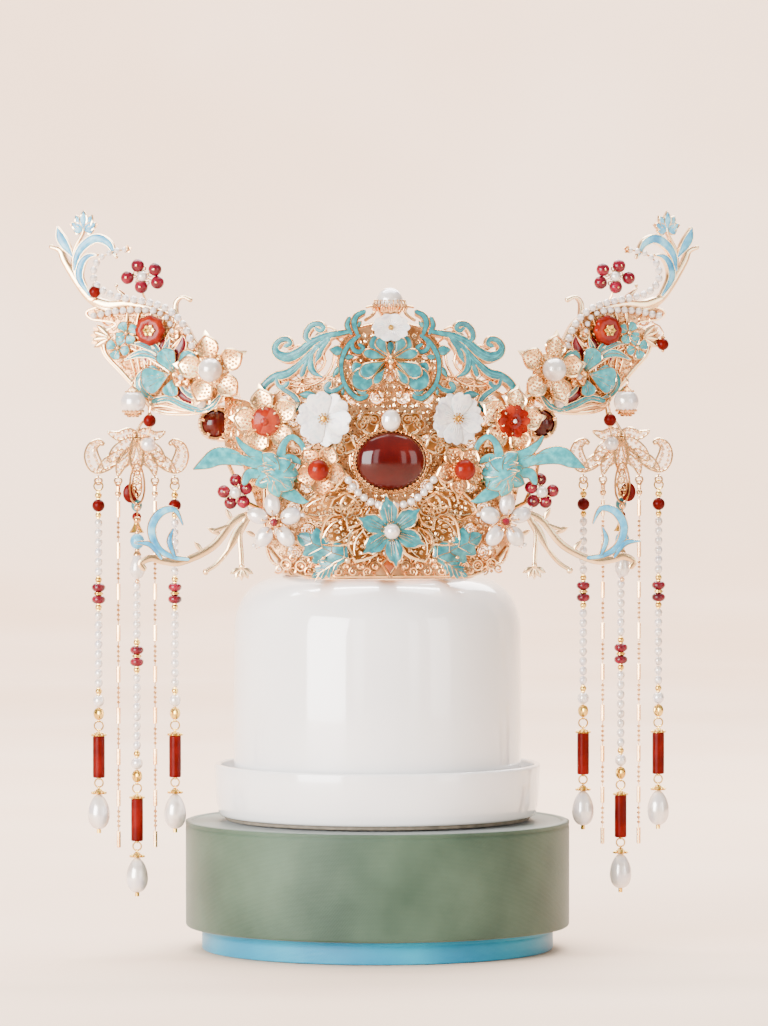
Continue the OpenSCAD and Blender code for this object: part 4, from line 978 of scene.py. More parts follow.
rope_line = smooth(wall_edge[2:], 10)
rope_x, rope_z = rope_line.T
edge_work = both([drawn(wall_edge[2:], front, 0.75, -0.5, 8, 8), drawn(wall_edge[2:], front, 0.4, 0.5, 8, 6),
                  beads_on(rope_x, rope_z, 0.62, front, 0.3)])


CHEEK_X, CHEEK_TURN = 50, math.radians(66)
CHEEK_Y = FRONT_Y - (CHEEK_X - FOLD_X) * math.tan(PANEL_TURN)


def cheek(x, z, out):
    """Side plate: it starts at the wall's end and runs back at 66 degrees."""
    x, z, out = np.broadcast_arrays(x, z, out)
    c, s = math.cos(CHEEK_TURN), math.sin(CHEEK_TURN)
    return np.stack([CHEEK_X + x * c + out * s, x * s - CHEEK_Y - out * c, z], -1)


cheek_edge = [[1.6, 178], [1.6, 226], [18, 229], [31, 230], [33, 236], [36, 236], [36, 210], [22, 204],
              [8, 186]]
cheek_gaps = np.array([[6, 196], [6, 207], [6, 218], [16, 211], [16, 222], [27, 215], [27, 224]], float).T
for out in (0.1, -1.7):
    x, z = grid_inside(cheek_edge, 3.0, 1.4)
    edge_work += both([loops(*cheek_gaps, 3.0, cheek, out, 0.36), curls(x, z, 1.25, cheek, out, 0.26),
                       curls(*cheek_gaps, 2.2, cheek, out * 0.5, 0.32, turns=1.8, steps=14)])
piece("wall_edges", edge_work, [gold])

# %% [markdown]
# The lower rim is a row of little scrolls with a dark eye in each, and an amber diamond hangs in
# its middle. They stand a little in front of the wall, as on the real crown.

# %% Lower rim
rim_work = []
for i in range(7):
    x = 6.4 + 5.9 * i
    z = 161.4 + 0.2 * max(i - 4, 0) ** 2
    curl_x, curl_z = np.array([[x, z], [x + 2.9, z - 2.0], [x - 2.6, z + 2.6]]).T
    bead_x, bead_z = np.array([[x + 2.9, z + 1.2], [x, z - 3.1], [x + 1.4, z + 3.4]]).T
    rim_work += [loops([x], [z], 2.0, front, 1.6, 0.45, 16, 6),
                 curls(curl_x, curl_z, [1.3, 1.9, 1.7], front, 1.8, 0.42, steps=18, sides=5),
                 beads_on(bead_x, bead_z, 0.75, front, 1.8)]
rim_line = [[1, 157.4], [12, 157.4], [24, 157.4], [34, 157.6], [42, 161.2], [49, 169]]
rim_work.append(drawn(rim_line, front, 0.7, 1.0, 8, 8))
diamond_frame = spot(front, 0, 162, 1.6)
diamond_edge = np.array([[0, 4.4], [3.4, 0.4], [0, -4.6], [-3.4, 0.4]])
diamond_path = np.concatenate([a + (b - a) * np.linspace(0, 0.9, 6)[:, None]
                               for a, b in zip(diamond_edge, np.roll(diamond_edge, -1, axis=0))])
diamond = [wires(diamond_frame(*diamond_path.T, 0.6), 0.5, 6, (0, -1, 0), looped=True),
           turned_on(diamond_frame, [[0.1, 1.7], [1.9, 1.3], [2.9, 0.4], [3.0, -0.4], [0.1, -0.5]], 4,
                     oval_by=(1.05, 1.4), paint=1)]
piece("lower_rim", both(rim_work) + diamond, [gold, amber], sharp=30)

# %% [markdown]
# The crest is the largest piece of enamel. Each scroll is a smooth curve through a few knots of
# x, z and width, and the same knots serve the gold tray and the glass in it.

# %% Crest
crest_scrolls = {"upper arm": [[17.3, 257.2, 2], [25.2, 255.6, 3], [31.7, 252.6, 3.6], [35.7, 249.2, 4],
                               [40.5, 246.9, 4.4], [44.6, 247.9, 3.8], [46, 250.8, 3], [44.2, 253.5, 2.6],
                               [41.2, 254.2, 2.4], [40, 252.4, 2.2], [41.4, 251.6, 2.2]],
                 "lower arm": [[24, 255, 1.6], [29.3, 251, 2.4], [32.5, 247.6, 2.6], [36.5, 243.7, 2.8],
                               [40.8, 240.3, 3.6], [45, 239.2, 3.8], [48.8, 237, 3.2], [51, 233.9, 3.2],
                               [50.4, 231, 4]],
                 "small curl": [[31, 252.6, 1.6], [33.6, 254.6, 2.4], [33.2, 257.6, 2.6], [31, 260, 2.6],
                                [28.2, 260.4, 2.4], [26.6, 258.9, 2.2], [28, 257.6, 2], [29.4, 258.4, 1.8]],
                 "long frond": [[29.3, 251.5, 1.6], [31.6, 247.6, 2.6], [31.9, 243.6, 3.2],
                                [30.4, 240.6, 2.6], [27.3, 238.9, 0.8]],
                 "short frond": [[24.6, 253.6, 1.4], [27.2, 250.6, 2.4], [28.6, 247.6, 2.6],
                                 [29.6, 245.2, 1]],
                 "hanging drop": [[33, 246, 1.2], [34.2, 242.8, 2.4], [35.2, 240, 2.4]],
                 "inner stem": [[13, 255.4, 1.8], [15.8, 253.4, 2.2], [18.2, 250, 2.4], [19.8, 246, 2.2],
                                [20, 241.4, 2], [19, 236.6, 2.2], [16.6, 232.8, 2.4], [13, 230, 2.4],
                                [10.3, 230.9, 2.8]],
                 "stem branch": [[19, 236, 1.4], [21.4, 233.8, 2], [24, 232.8, 2.4], [25.6, 234.2, 2.6],
                                 [24.6, 235.8, 2.6]],
                 "inner curl": [[13.6, 255, 1.6], [15.6, 252.6, 2], [15, 250, 2.2], [12.6, 249, 2.2],
                                [11, 250.6, 2], [12.4, 251.8, 1.8]],
                 "inner horn": [[13.6, 256.6, 1.8], [14.8, 260.4, 2.6], [13.8, 263.6, 2.4], [11, 265.3, 2]],
                 "outer horn": [[16.2, 256.8, 1.6], [17.6, 259.8, 2.2], [16.8, 262.6, 1.6]],
                 "low branch": [[45.6, 238.4, 1.6], [44.8, 235.4, 2], [42, 233.4, 2.2], [39, 231.4, 2.4],
                                [37.1, 229, 2.4], [37.2, 226.4, 2.4], [39, 224.9, 2.6], [40.6, 225.8, 2.8]],
                 "low twig": [[44.6, 235.4, 1.4], [42.6, 234.8, 2], [41.2, 236, 2.2]],}
GROOVED = ("upper arm", "lower arm", "long frond")
crest_leaves = [[18.4, 249.2, 6, 6.6, 4.2], [19.2, 246.6, 172, 4.6, 2.6], [20.2, 243.8, -58, 6.4, 2.4],
                [36.8, 231.6, 180, 8, 3.4], [30.6, 254.4, 150, 5.4, 2.6], [32.4, 252, 132, 4, 2.2],
                [19.3, 234.4, -88, 3.4, 1.8], [44, 247, 200, 6, 2.2], [14.4, 258.6, 132, 4, 2.2]]
crest_work = []
for name, knots in crest_scrolls.items():
    wider = [[x, z, w + 0.3] for x, z, w in knots]
    crest_work += [ribbon(wider, front, tray(1.4, 0.4, 0.5, 0.85), 1.6),
                   painted(ribbon(wider, front, filling(0.36, 0.5, 0.5), 1.6), 1)]
    # A half-round bar under each scroll, in the darker gold: painted shade on the scroll's shadow side.
    crest_work.append(painted(ribbon([[x * 0.985, z - 1.1, w * 0.85] for x, z, w in knots], front, bar(0.5),
                                     0.4), 2))
    if name in GROOVED:
        line = np.array(knots[1:-3] if len(knots) > 6 else knots, float)
        for m in (-0.2, 0.2):
            crest_work.append(painted(drawn(line[:, :2] + [m * 2.2, m * 2.2], front, 0.15, 2.66, 6, 5), 3))
for x, z, turn, length, width in crest_leaves:
    crest_work += enamel_leaf(spot(front, x, z, 2.0, turn), length, width, vein=False)
piece("crest_scrollwork", both(crest_work), [gold, turquoise, painted_shade_gold, light_turquoise],
      ["crest"])

crest_back = [[[46, 239, 1.2], [40, 235.4, 1.2], [33, 235.2, 1.2], [27, 238, 1.2], [23.4, 243.6, 1.2],
               [22.6, 249, 1.2]],
              [[27.6, 250, 1.2], [26.4, 245, 1.2], [28.6, 241.4, 1.2], [32.6, 241.2, 1.1], [34, 244, 1.1],
               [31.8, 245.6, 1.1]],
              [[15.6, 252, 1.2], [15.8, 244, 1.2], [13.8, 238, 1.2], [10, 234, 1.2], [5, 232.4, 1.2]],
              [[22, 254.6, 1.0], [17.4, 251.4, 1.0], [14.4, 252.4, 1.0], [14.2, 255.2, 1.0],
               [16.4, 256, 1.0]], [[10, 262, 1.4], [6.4, 264.8, 1.4], [7, 267.4, 1.2], [9.4, 267.2, 1.1]],
              [[40, 250.6, 1.0], [36.2, 251.6, 1.0], [34, 249.4, 1.0]],
              [[28, 257.6, 1.0], [24.6, 259.2, 1.0], [21.6, 257.4, 1.0]]]
back_work = [ribbon(k, front, bar(0.7), 0.6) for k in crest_back]
for x, z, reach, count in ((35.2, 236.6, 5.2, 10), (29.4, 246.0, 3.6, 8), (41.8, 237.8, 3.0, 8)):
    angles = np.radians(360 * np.arange(count) / count + 9)
    t = np.linspace(0.1, 1, 4)
    u, v = x + reach * np.cos(angles)[:, None] * t, z + reach * np.sin(angles)[:, None] * t
    back_work += [wires(front(u, v, 0.7 + 0 * u), 0.26, 5, away_from(front, u, v, 0 * u)),
                  beads_on(u[:, -1], v[:, -1], 0.42, front, 0.7), beads_on([x], [z], 0.8, front, 0.8)]
piece("crest_backing", both(back_work), [gold])

# %% [markdown]
# On top a pleated cup holds the largest pearl of the front. Its many thin prongs are tapered wires
# that lean outward and bend in at the tips.

# %% Crest cup and pearl
CREST_PEARL = np.array([0.0, -52.0, 269.8])
CREST_PEARL_R = 5.35
cup_work = [lathe([[0.5, -7.4], [3.2, -7.2], [3.8, -6.4], [5.6, -3.4], [5.9, -2.4], [5.4, -2.4], [4.9, -3.4],
                   [0.5, -5.7]], 48, CREST_PEARL)]
for count, radius, rise, lean, thick in ((22, 5.5, 4.4, 1.2, 0.42), (22, 6.3, 2.6, 0.9, 0.36)):
    angle = 2 * np.pi * (np.arange(count) + (0.5 if thick < 0.4 else 0)) / count
    t = np.linspace(0, 1, 5)
    r = radius + lean * np.sin(np.pi * t * 0.8)
    z = -4.2 + rise * t
    paths = CREST_PEARL + np.stack(np.broadcast_arrays(r * np.cos(angle)[:, None],
                                                       r * np.sin(angle)[:, None], z), -1)
    cup_work += [wires(paths, thick * (1.15 - 0.6 * t), 5, (0, 0.3, 1)), balls(paths[:, -1], 0.42, 7, 5)]
cup_work.append(lathe([[0.5, -12.2], [2.2, -12], [2.4, -8.4], [3.4, -7.3], [0.5, -7.2]], 24, CREST_PEARL))
piece("crest_cup", cup_work, [gold])
piece("crest_pearl", [balls([CREST_PEARL], CREST_PEARL_R, 48, 33)], [pearl], ["crest_pearl"])

# %% [markdown]
# The butterfly under the pearl has ten wings. A wing has a rim, a glass filling and a smaller
# raised wing on it.

# %% Butterfly
butterfly_wings = [[0, 246.6, 90, 6.8, 3.6, 0.7, 1.0], [0.4, 246.4, 52, 11.4, 8.0, 0.72, 0.0],
                   [0.8, 247.2, 58, 8.6, 4.8, 0.74, 1.0], [1.2, 246.4, 14, 10.4, 4.4, 0.7, 0.5],
                   [1, 245.4, -36, 17.6, 9.6, 0.74, 0.0], [1.6, 245.6, -28, 12.4, 6.4, 0.74, 1.2],
                   [1.2, 243.8, -54, 9.6, 3.8, 0.74, 1.0]]
butterfly = []
for x, z, turn, length, width, belly, lift in butterfly_wings:
    sheet = turned(spot(front, x, z, 2.7 + lift, turn), 0, 5, 0.4, width)
    butterfly += enamel_leaf(sheet, length, width, belly, swell=0.6, rim=0.4, vein=False, rows=17)
butterfly_lobes = [[9.0, 242.6, -4, 7.0, 5.6], [9.6, 239.6, -24, 7.0, 5.6], [8.8, 236.8, -48, 6.4, 5.2]]
for x, z, turn, length, width in butterfly_lobes:
    butterfly += enamel_leaf(spot(front, x, z, 2.5, turn), length, width, 0.72, 0.6, vein=False, rows=13)
feeler = [[0.3, 244], [1.3, 239], [4.0, 235.6], [5.2, 232.6], [3.6, 230.2], [1.8, 231.2], [2.3, 232.9],
          [3.5, 232.6]]
butterfly.append(drawn(feeler, front, 0.36, 3.2, 7, 6))
butterfly.append(drawn([[0.2, 243], [0.7, 238.6], [2.6, 235.2], [1.4, 233.4]], front, 0.26, 3.2, 7, 6))
body = [ball(spot(front, 0, 245.2, 4.6), 1.5),
        lump(spot(front, 0, 243.0, 4.2), half=(0.9, 1.5, 0.9), cols=12),
        lump(spot(front, 0, 247.2, 4.2), half=(0.9, 1.1, 0.9), cols=12)]
piece("butterfly", both(butterfly) + body, [gold, turquoise], ["crest_butterfly"])

# %% [markdown]
# Shell flowers are carved from mother-of-pearl. A petal is notched at its tip and grooved along its
# length; the grooves are a cosine across the petal, so they come from the shape itself.

# %% Shell flowers
def shell_petal(place, length, width, ribs=3.5, thick=0.55, notch=0.13):
    """Notched petal: its length falls along the middle, and a cosine across it cuts the grooves."""
    rows, cols = 10, 15
    s = np.linspace(0, 1, rows)[:, None]
    t = np.linspace(-1, 1, cols)[None]
    half = width / 2 * (0.16 + 0.84 * np.sin(np.pi / 2 * s) ** 1.1) * np.cos(np.clip(s - 0.82, 0, 1) * 3.2)
    reach = length * (1 - 0.2 * t**4 - notch * np.exp(-(t / 0.22) ** 2))
    u, v = s * reach, t * half
    top = 0.28 + 0.2 * np.cos(2 * np.pi * ribs * t) * s * (1.1 - s) * 2 + 0.5 * s**2 - 0.9 * t**2 * s
    uu, vv = np.concatenate([u, u[:, ::-1]], 1), np.concatenate([v, v[:, ::-1]], 1)
    hh = np.concatenate([top, (top - thick)[:, ::-1]], 1)
    return skinned(place(uu, vv, hh)[None])


def stamens(base, radius=1.9, h=1.4):
    """Tuft of gold, paint 1: two rings of grains on short wires and a middle grain."""
    inner = radius * 0.55
    parts = [grains_round(base, 10, radius, h, 0.42, paint=1),
             grains_round(base, 6, inner, h + 0.5, 0.44, start=0.4, paint=1),
             ball(base, 0.5, 8, 5, h=h + 0.6, paint=1)]
    t = np.linspace(0.1, 1, 3)
    for count, r, start in ((10, radius, 0), (6, inner, 0.4)):
        angle = 2 * np.pi * np.arange(count) / count + start
        u, v = r * np.cos(angle)[:, None] * t, r * np.sin(angle)[:, None] * t
        parts.append(painted(wires(base(u, v, h * t + 0 * u), 0.16, 4, (0.3, 0.2, 1)), 1))
    return parts


def shell_flower(base, layers):
    """Layers of petals, rows of count, reach, width, turn, tilt and height."""
    return [shell_petal(sheet, reach, width, 3.5, 0.5, 0.13) for count, reach, width, turn, tilt, h in layers
            for sheet in flower_places(shifted(base, h=h), count, turn, tilt, 0, 1)]


shell_base = spot(front, 25.8, 221.8, 4.6)
shell_layers = {"left": [(3, 11.3, 11.2, 12, 3, 0.0), (3, 11.2, 11.2, 72, 7, 0.6)],
                "right": [(4, 10.9, 9.2, 30, 3, 0.0), (4, 10.8, 9.2, 75, 8, 0.6)]}
for side, layers in shell_layers.items():
    made = joined([*shell_flower(shell_base, layers), *stamens(shell_base, 2.2, 2.4),
                   turned_on(shell_base, [[0.2, 2.0], [1.2, 1.6], [1.4, -4.2], [0.2, -4.3]], 16, paint=1)])
    piece(f"shell_flower_{side}", [mirrored(made) if side == "left" else made], [shell, yellow_gold],
          [f"shell_flower_{side}"], sharp=50)


def squashed(u, v, h):
    """The crest flower's sheet, lower than it is wide."""
    return crest_flower(u, v * 0.74, h)


crest_flower = spot(front, 0, 259.0, 4.4)
crest_shell = shell_flower(squashed, [(5, 7.6, 9.6, 54, 8, 0.0)]) + stamens(crest_flower, 0.8, 0.9)
crest_shell.append(turned_on(crest_flower, [[0.2, 0.6], [1.1, 0.4], [1.2, -4.0], [0.2, -4.1]], 16, paint=1))
piece("crest_shell", crest_shell, [shell, yellow_gold], ["crest_shell"], sharp=50)

# %% [markdown]
# The centre stone sits in a raised oval rim. One profile, turned and squeezed to an oval, gives the
# whole setting; a row of small teeth bends over the stone, and a rope of grains runs round it.

# %% Centre setting
STONE_HALF = np.array([14.3, 11.8])
STONE_Z, TEETH = 204.6, 46
STONE_SHARE = STONE_HALF[1] / STONE_HALF[0]
stone_oval = (1.0, STONE_SHARE)
centre = spot(front, 0, STONE_Z, 0.3)
setting = [turned_on(centre, [[0.5, 0.1], [16.2, 0.1], [16.9, 0.5], [16.9, 1.3], [16.4, 1.7], [15.9, 1.8],
                              [15.6, 2.6], [15.5, 4.6], [15.2, 5.0], [14.7, 5.1], [14.4, 4.9], [14.3, 4.1],
                              [0.5, 4.0]], 72, oval_by=stone_oval)]
ring_angle = 2 * np.pi * np.arange(96) / 96
for radius, h, thick in ((16.5, 1.9, 0.5), (15.7, 3.2, 0.34)):
    ring_path = centre(radius * np.cos(ring_angle), radius * STONE_SHARE * np.sin(ring_angle), h)
    setting.append(wires(ring_path, thick, 8, (0, -1, 0), looped=True))
setting += [grains_round(centre, TEETH, 15.5, 5.1, 0.72, stone_oval),
            grains_round(centre, 60, 16.2, 2.6, 0.42, stone_oval)]
tooth_angle = 2 * np.pi * (np.arange(TEETH)[:, None] + 0.5) / TEETH
lean = np.linspace(0, 1, 4)
tooth_r = 15.3 - 1.2 * lean**2
teeth = centre(tooth_r * np.cos(tooth_angle), tooth_r * STONE_SHARE * np.sin(tooth_angle),
               4.4 + 1.5 * lean + 0 * tooth_angle)
setting.append(wires(teeth, 0.46 * (1.1 - 0.5 * lean), 5, (0.3, -1, 0.2)))
piece("centre_setting", setting, [gold])


def cloud_plate(base, lobes, tail):
    """Cloud head: flat lobes that overlap, in dark gold as painted shade, with a pale gold rolled rim and an
    open spiral on each.
    """
    parts = [lump(base, 0, tail * 0.4, -0.3, (2.2, abs(tail) * 0.6, 0.5), cols=16, rows=7, paint=1)]
    for u, v, r in lobes:
        parts += [lump(base, u, v, -0.3, (r, r, 0.5), cols=22, rows=7, paint=1),
                  loops([u], [v], r, base, 0.2, 0.44, 22, 6),
                  curls([u], [v], r * 0.5, base, 0.45, 0.42, 1.1, 20, 6)]
    for m in (-1, 1):
        arm = [[m * 3.6, -0.6, 0.8], [m * 2.8, -2.2, 1.2], [m * 1.2, -3.8, 1.2], [0, tail, 0.7]]
        parts.append(ribbon(arm, base, bar(0.6), 0.1))
    return parts


CLOUD_LOBES = [(-2.7, 1.0, 2.2), (2.7, 1.0, 2.2), (0, 2.7, 2.1)]
WIDE_LOBES = [(-4.4, 0.2, 2.3), (4.4, 0.2, 2.3), (-1.6, 2.2, 2.4), (1.8, 2.4, 2.3)]
cloud_work = []
for x, z, turn, lobes, tail in ([8.9, 219.6, -22, CLOUD_LOBES, -5.4], [18.6, 211.4, -66, CLOUD_LOBES, -5.6],
                                [17.0, 186.4, -196, WIDE_LOBES, -4.4],
                                [22.6, 197.6, -104, CLOUD_LOBES, -4.6]):
    cloud_work += cloud_plate(spot(front, x, z, 4.2, turn), lobes, tail)
piece("cloud_scrolls", both(cloud_work), [pale_gold, painted_deep_shade_gold], ["centre_bezel"])

stone = lump(spot(front, 0, STONE_Z, 4.4), half=(*STONE_HALF, 6.2), cols=72, rows=33)
piece("centre_cabochon", [stone], [dark_carnelian], ["centre_stone"])
brow = spot(front, 0, 221.4, 5.6)
brow_drop = lump(brow, half=(3.9, 4.5, 3.0), cols=32, rows=19, wave=lambda lon, lat: 1 - 0.06 * np.sin(lon))
piece("brow_drop", [brow_drop], [pearl], ["brow_pearl"])
brow_cup = [grains_round(brow, 14, 3.3, -1.2, 0.42, (1, 1.22)),
            turned_on(brow, [[0.3, -1.6], [3.4, -1.5], [3.6, -2.2], [1.2, -3.4], [0.3, -5.0]], 24,
                      oval_by=(1, 1.22))]
piece("brow_cup", brow_cup, [gold])

swag = [[17.4, 196.8], [15.6, 194.2], [13.5, 191.8], [11.0, 189.7], [8.2, 188.0], [5.1, 186.8], [1.7, 186.3]]
swag_x, swag_z = np.array(swag, float).T
swag_shapes = both([beads_on(swag_x, swag_z, 1.6, front, 5.8, 20, 13)])
swag_shapes.append(ball(spot(front, 0, 176, 10.4), 3.2, 32, 21))
piece("swag_pearls", swag_shapes, [pearl], ["front_pearls"])
swag_wire = [drawn([[18.4, 198.6]] + swag + [[0, 186.2]], front, 0.3, 5.8),
             beads_on(swag_x - 0.4, swag_z - 1.6, 0.42, front, 4.4),
             grains_round(spot(front, 18.8, 199.2, 4.6), 6, 1.1, 0.4, 0.5)]
piece("swag_wire", both(swag_wire), [gold])


def laid(place, x, z, out, turn):
    """Like a spot, but it bends with the sheet it lies on."""
    c, s = math.cos(math.radians(turn)), math.sin(math.radians(turn))
    return lambda u, v, h: place(x + u * c - v * s, z + u * s + v * c, out + h)


# %% [markdown]
# Lotus petals fan out under the stone. Each is filigree in a rolled rim, cupped toward the viewer.

# %% Lotus petals
fan = [[10, 190, -14, 26, 13], [9, 186, -40, 24, 13], [6, 182, -66, 20, 13]]
lotus = []
for i, (x, z, turn, length, width) in enumerate(fan):
    sheet = turned(laid(front, x, z, 2.2 + 0.5 * i, turn), 0, 2, 0.7, width)
    lotus += filigree_petal(sheet, length, width, 0.62, rim=0.62, pitch=2.5, size=1.0, wire=0.27)
    s = np.linspace(0.1, 0.9, 9)
    for m in (-1, 1):
        edge_v = m * width * 0.55 * leaf_half(s, 0.62)
        stands = away_from(sheet, s * length, edge_v, 0 * s)[None]
        lotus.append(wires(sheet(s * length, edge_v, 0.35 + 0 * s), 0.3, 5, stands))
small_fan = [[8, 183, -88, 10, 6], [11, 187.5, -58, 12, 6], [13, 192, -30, 12, 6], [15, 196, 0, 10, 5.4]]
for x, z, turn, length, width in small_fan:
    sheet = turned(laid(front, x, z, 3.4, turn), 0, 6, 0.6, width)
    lotus += filigree_petal(sheet, length, width, 0.6, rim=0.5, pitch=1.9, size=0.8)
# The thin sheets behind the curls take the dark gold: painted shade behind the wire.
piece("lotus_filigree", both(lotus), [pale_gold, painted_deep_shade_gold], ["lotus_petals"])

# %% Lower flower
LOWER_REACH = 13
lower_base = spot(front, 0, 176, 5.4)
lower = []
for i, sheet in enumerate(flower_places(lower_base, 6, 98, 12, 1.0, 7.4, 1.6, LOWER_REACH)):
    ruffled = bent(sheet, lambda u, v,
                   i=i: 0.35 * np.sin(1.3 * v + 1.7 * i) * np.clip(u / LOWER_REACH, 0, 1))
    lower += [shell_petal(shifted(ruffled, h=-0.45), 12.8, 8.4, 1.5, 0.5, -0.22),
              painted(shell_petal(ruffled, 12.2, 7.4, 2.5, 0.5, -0.22), 1)]
    s = np.linspace(0.25, 0.82, 6)
    for v in (-1.7, 0.0, 1.7):
        lower.append(wires(ruffled(s * 12.2, v * s**0.8, 0.5 + 0 * s), 0.1, 4, (0.1, -1, 0)))
lower += [turned_on(lower_base, [[0.3, 4.0], [2.6, 3.6], [3.0, 2.6], [2.2, 1.4], [1.4, 0.6], [1.4, -4.6],
                                 [0.3, -4.7]], 28),
          grains_round(lower_base, 12, 3.1, 2.5, 0.5), grains_round(lower_base, 14, 3.9, 1.5, 0.45)]
piece("lower_blossom", lower, [gold, turquoise], ["lower_flower"])

# %% Serrated leaves
def jagged(s):
    """Teeth of a leaf: the width grows along each of five teeth and drops back at its tip."""
    tooth = (s * 5.0 + 0.25) % 1.0
    return 0.52 + 0.54 * tooth**1.1


def serrated_leaf(place, length, width):
    """Broad jagged blade of enamel on gold, folded a little along its middle, with a vein to each tooth."""
    fold = bent(place, lambda u, v: -0.035 * v**2 + 0.5 * np.sin(u * 0.5))
    made = [petal(length, width, 0.46, fold, domed(0.35, -0.22), 0.8, rows=72, lobe=jagged),
            petal(length, width, 0.46, fold, domed(0.35), 0.4, inset=0.34, rows=72, paint=1, lobe=jagged)]
    s = np.linspace(0.02, 0.92, 12)
    made.append(wires(fold(s * length, 0 * s, 0.4 + 0 * s), 0.24 * (1.2 - s), 5, (0.1, -1, 0)))
    for k in range(4):
        for m in (-1, 1):
            t = np.linspace(0, 1, 5)
            u, v = length * (0.1 + 0.19 * k) + 3.6 * t, m * width * (0.36 - 0.05 * k) * t
            made.append(wires(fold(u, v, 0.42 + 0 * t), 0.16 * (1.3 - t), 5, (0.1, -1, 0)))
    return made


leaf_sheet = laid(front, 17.0, 164.4, 4.0, 26)
serrated = serrated_leaf(leaf_sheet, 23, 19)
serrated += serrated_leaf(laid(front, 20.6, 163.6, 3.0, -32), 13, 9)
serrated += [lump(leaf_sheet, 0.6, -0.6, 1.4, (1.3, 1.3, 1.1)),
             lump(leaf_sheet, 8.6, -3.4, 0.7, (0.8, 0.8, 0.7), cols=12)]
piece("serrated_leaves", both(serrated), [gold, turquoise],
      ["serrated_leaf_left", "serrated_leaf_right"])

# %% [markdown]
# Filigree flowers share one recipe: five framed petals of curled wire, a beaded ring and a setting.
# Only the size, the number of layers and what sits in the middle differ.

# %% Side flowers and their stones
def gold_flower(base, reach, width, turn, seat, tilt=8, belly=0.66):
    """Filigree flower with a small inner layer and a beaded ring round a seat of that radius."""
    made = filigree_flower(base, 5, reach, width, belly, turn, tilt, rim=0.5)
    for sheet in flower_places(base, 5, turn, tilt, 0.9, width, 1.2, reach):
        made.append(petal(4.6, width * 0.34, 0.3, shifted(sheet, u=reach - 2.2, h=-0.1), level, 0.5))
    made += filigree_flower(shifted(base, h=0.5), 5, reach * 0.5, width * 0.5, belly, turn + 36, tilt + 3,
                            rim=0.3, pitch=1.5, size=0.5)
    made += [grains_round(base, int(seat * 4.6), seat + 0.3, 1.6, 0.5),
             grains_round(base, int(seat * 5.4), seat + 1.3, 1.0, 0.42),
             turned_on(base, [[0.4, 0.4], [seat - 0.6, 0.4], [seat - 0.5, 2.2], [seat, 2.6],
                              [seat + 0.4, 1.4], [seat + 0.2, -0.6], [0.4, -0.7]], 40)]
    return made


SIDE_X, SIDE_Z = 49, 220.6
side_base = spot(front, SIDE_X, SIDE_Z, 4.2)
side_work = gold_flower(side_base, 13.6, 9.0, 78, 5.8) + [post(side_base, 1.5, 0, -3.8, u=-2)]
prong_r, prong_h = np.array([5.7, 5.9, 5.4, 4.6]), [1.0, 2.4, 3.8, 4.3]
for i in range(6):
    a = math.radians(60 * i + 20)
    prong = side_base(prong_r * math.cos(a), prong_r * math.sin(a), prong_h)
    side_work.append(wires(prong, 0.4, 6, (0.2, 0.3, 1)))
piece("side_flowers", both(side_work), [pale_gold, gold], ["side_flower_left", "side_flower_right"])

disc_base = spot(front, SIDE_X, SIDE_Z, 5.6)
disc = turned_on(disc_base,
                 [[0.1, 0.0], [5.9, 0.0], [6.1, 1.1], [4.9, 2.7], [2.7, 3.5], [1.7, 3.7], [1.2, 4.6],
                  [0.1, 4.9]], 16)
faces_round = np.arange(len(disc["quads"])) % 16
disc["quad_paint"] = ((faces_round >= 5) & (faces_round < 13)).astype(int)
piece("two_tone_disc", [mirrored(disc)], [carnelian, rose_stone], ["side_stone_left"], sharp=12)
carved = [turned_on(disc_base, [[0.1, 0.2], [3.0, 0.2], [3.2, 2.4], [0.1, 2.6]], 20)]
for sheet in flower_places(disc_base, 5, 90, 14, 0.0, 6.4):
    carved.append(shell_petal(shifted(sheet, h=1.2), 6.8, 7.6, 1.5, 1.3, 0.2))
carved += [grains_round(disc_base, 5, 1.3, 3.0, 0.7), ball(disc_base, 0.9, 14, h=3.6, paint=1)]
piece("carved_blossom", carved, [carnelian, pearl], ["side_stone_right"], sharp=50)

end_base = spot(flat(2), 68, 219, 0.3)
end_stone = lump(end_base, half=(6.1, 6.1, 5.5), cols=40, rows=25)
piece("end_cabochons", both([end_stone]), [dark_carnelian],
      ["end_stone_left", "end_stone_right"])
end_cup = [grains_round(end_base, 26, 6.5, 2.4, 0.5), grains_round(end_base, 26, 6.6, -0.6, 0.5),
           turned_on(end_base, [[5.6, -1.2], [6.9, -1.1], [7.2, 0.2], [6.9, 1.9], [6.4, 2.0], [6.0, 0.8]],
                     40)]
claw_r, claw_h = np.array([6.7, 6.5, 5.7, 4.7]), [1.0, 3.4, 4.8, 5.3]
for i in range(5):
    a = math.radians(72 * i + 18)
    claw = end_base(claw_r * math.cos(a), claw_r * math.sin(a), claw_h)
    end_cup.append(wires(claw, 0.62, 6, (0.3, 0.2, 1)))
piece("end_cups", both(end_cup), [gold])

# %% Bead flowers
bead_base = spot(front, 27.4, 201, 4.6)
bead_work = gold_flower(bead_base, 10.4, 8.0, 49, 3.6, 9, 0.62)
bead_work += [post(bead_base, 1.5, 0, -4.2),
              lump(bead_base, h=5.5, half=(4.4, 4.4, 3.9), cols=30, rows=19, paint=2)]
# The sheets behind the filigree take the darker gold: painted shade behind the wire.
piece("bead_flowers", both(bead_work), [gold, painted_shade_gold, carnelian],
      ["bead_flower_left", "bead_flower_right"])

# %% [markdown]
# Beside the stone hangs a cluster of broad blades round a folded bud. The bud is an oval whose
# radius ripples with the angle, and gold wires run down its folds.

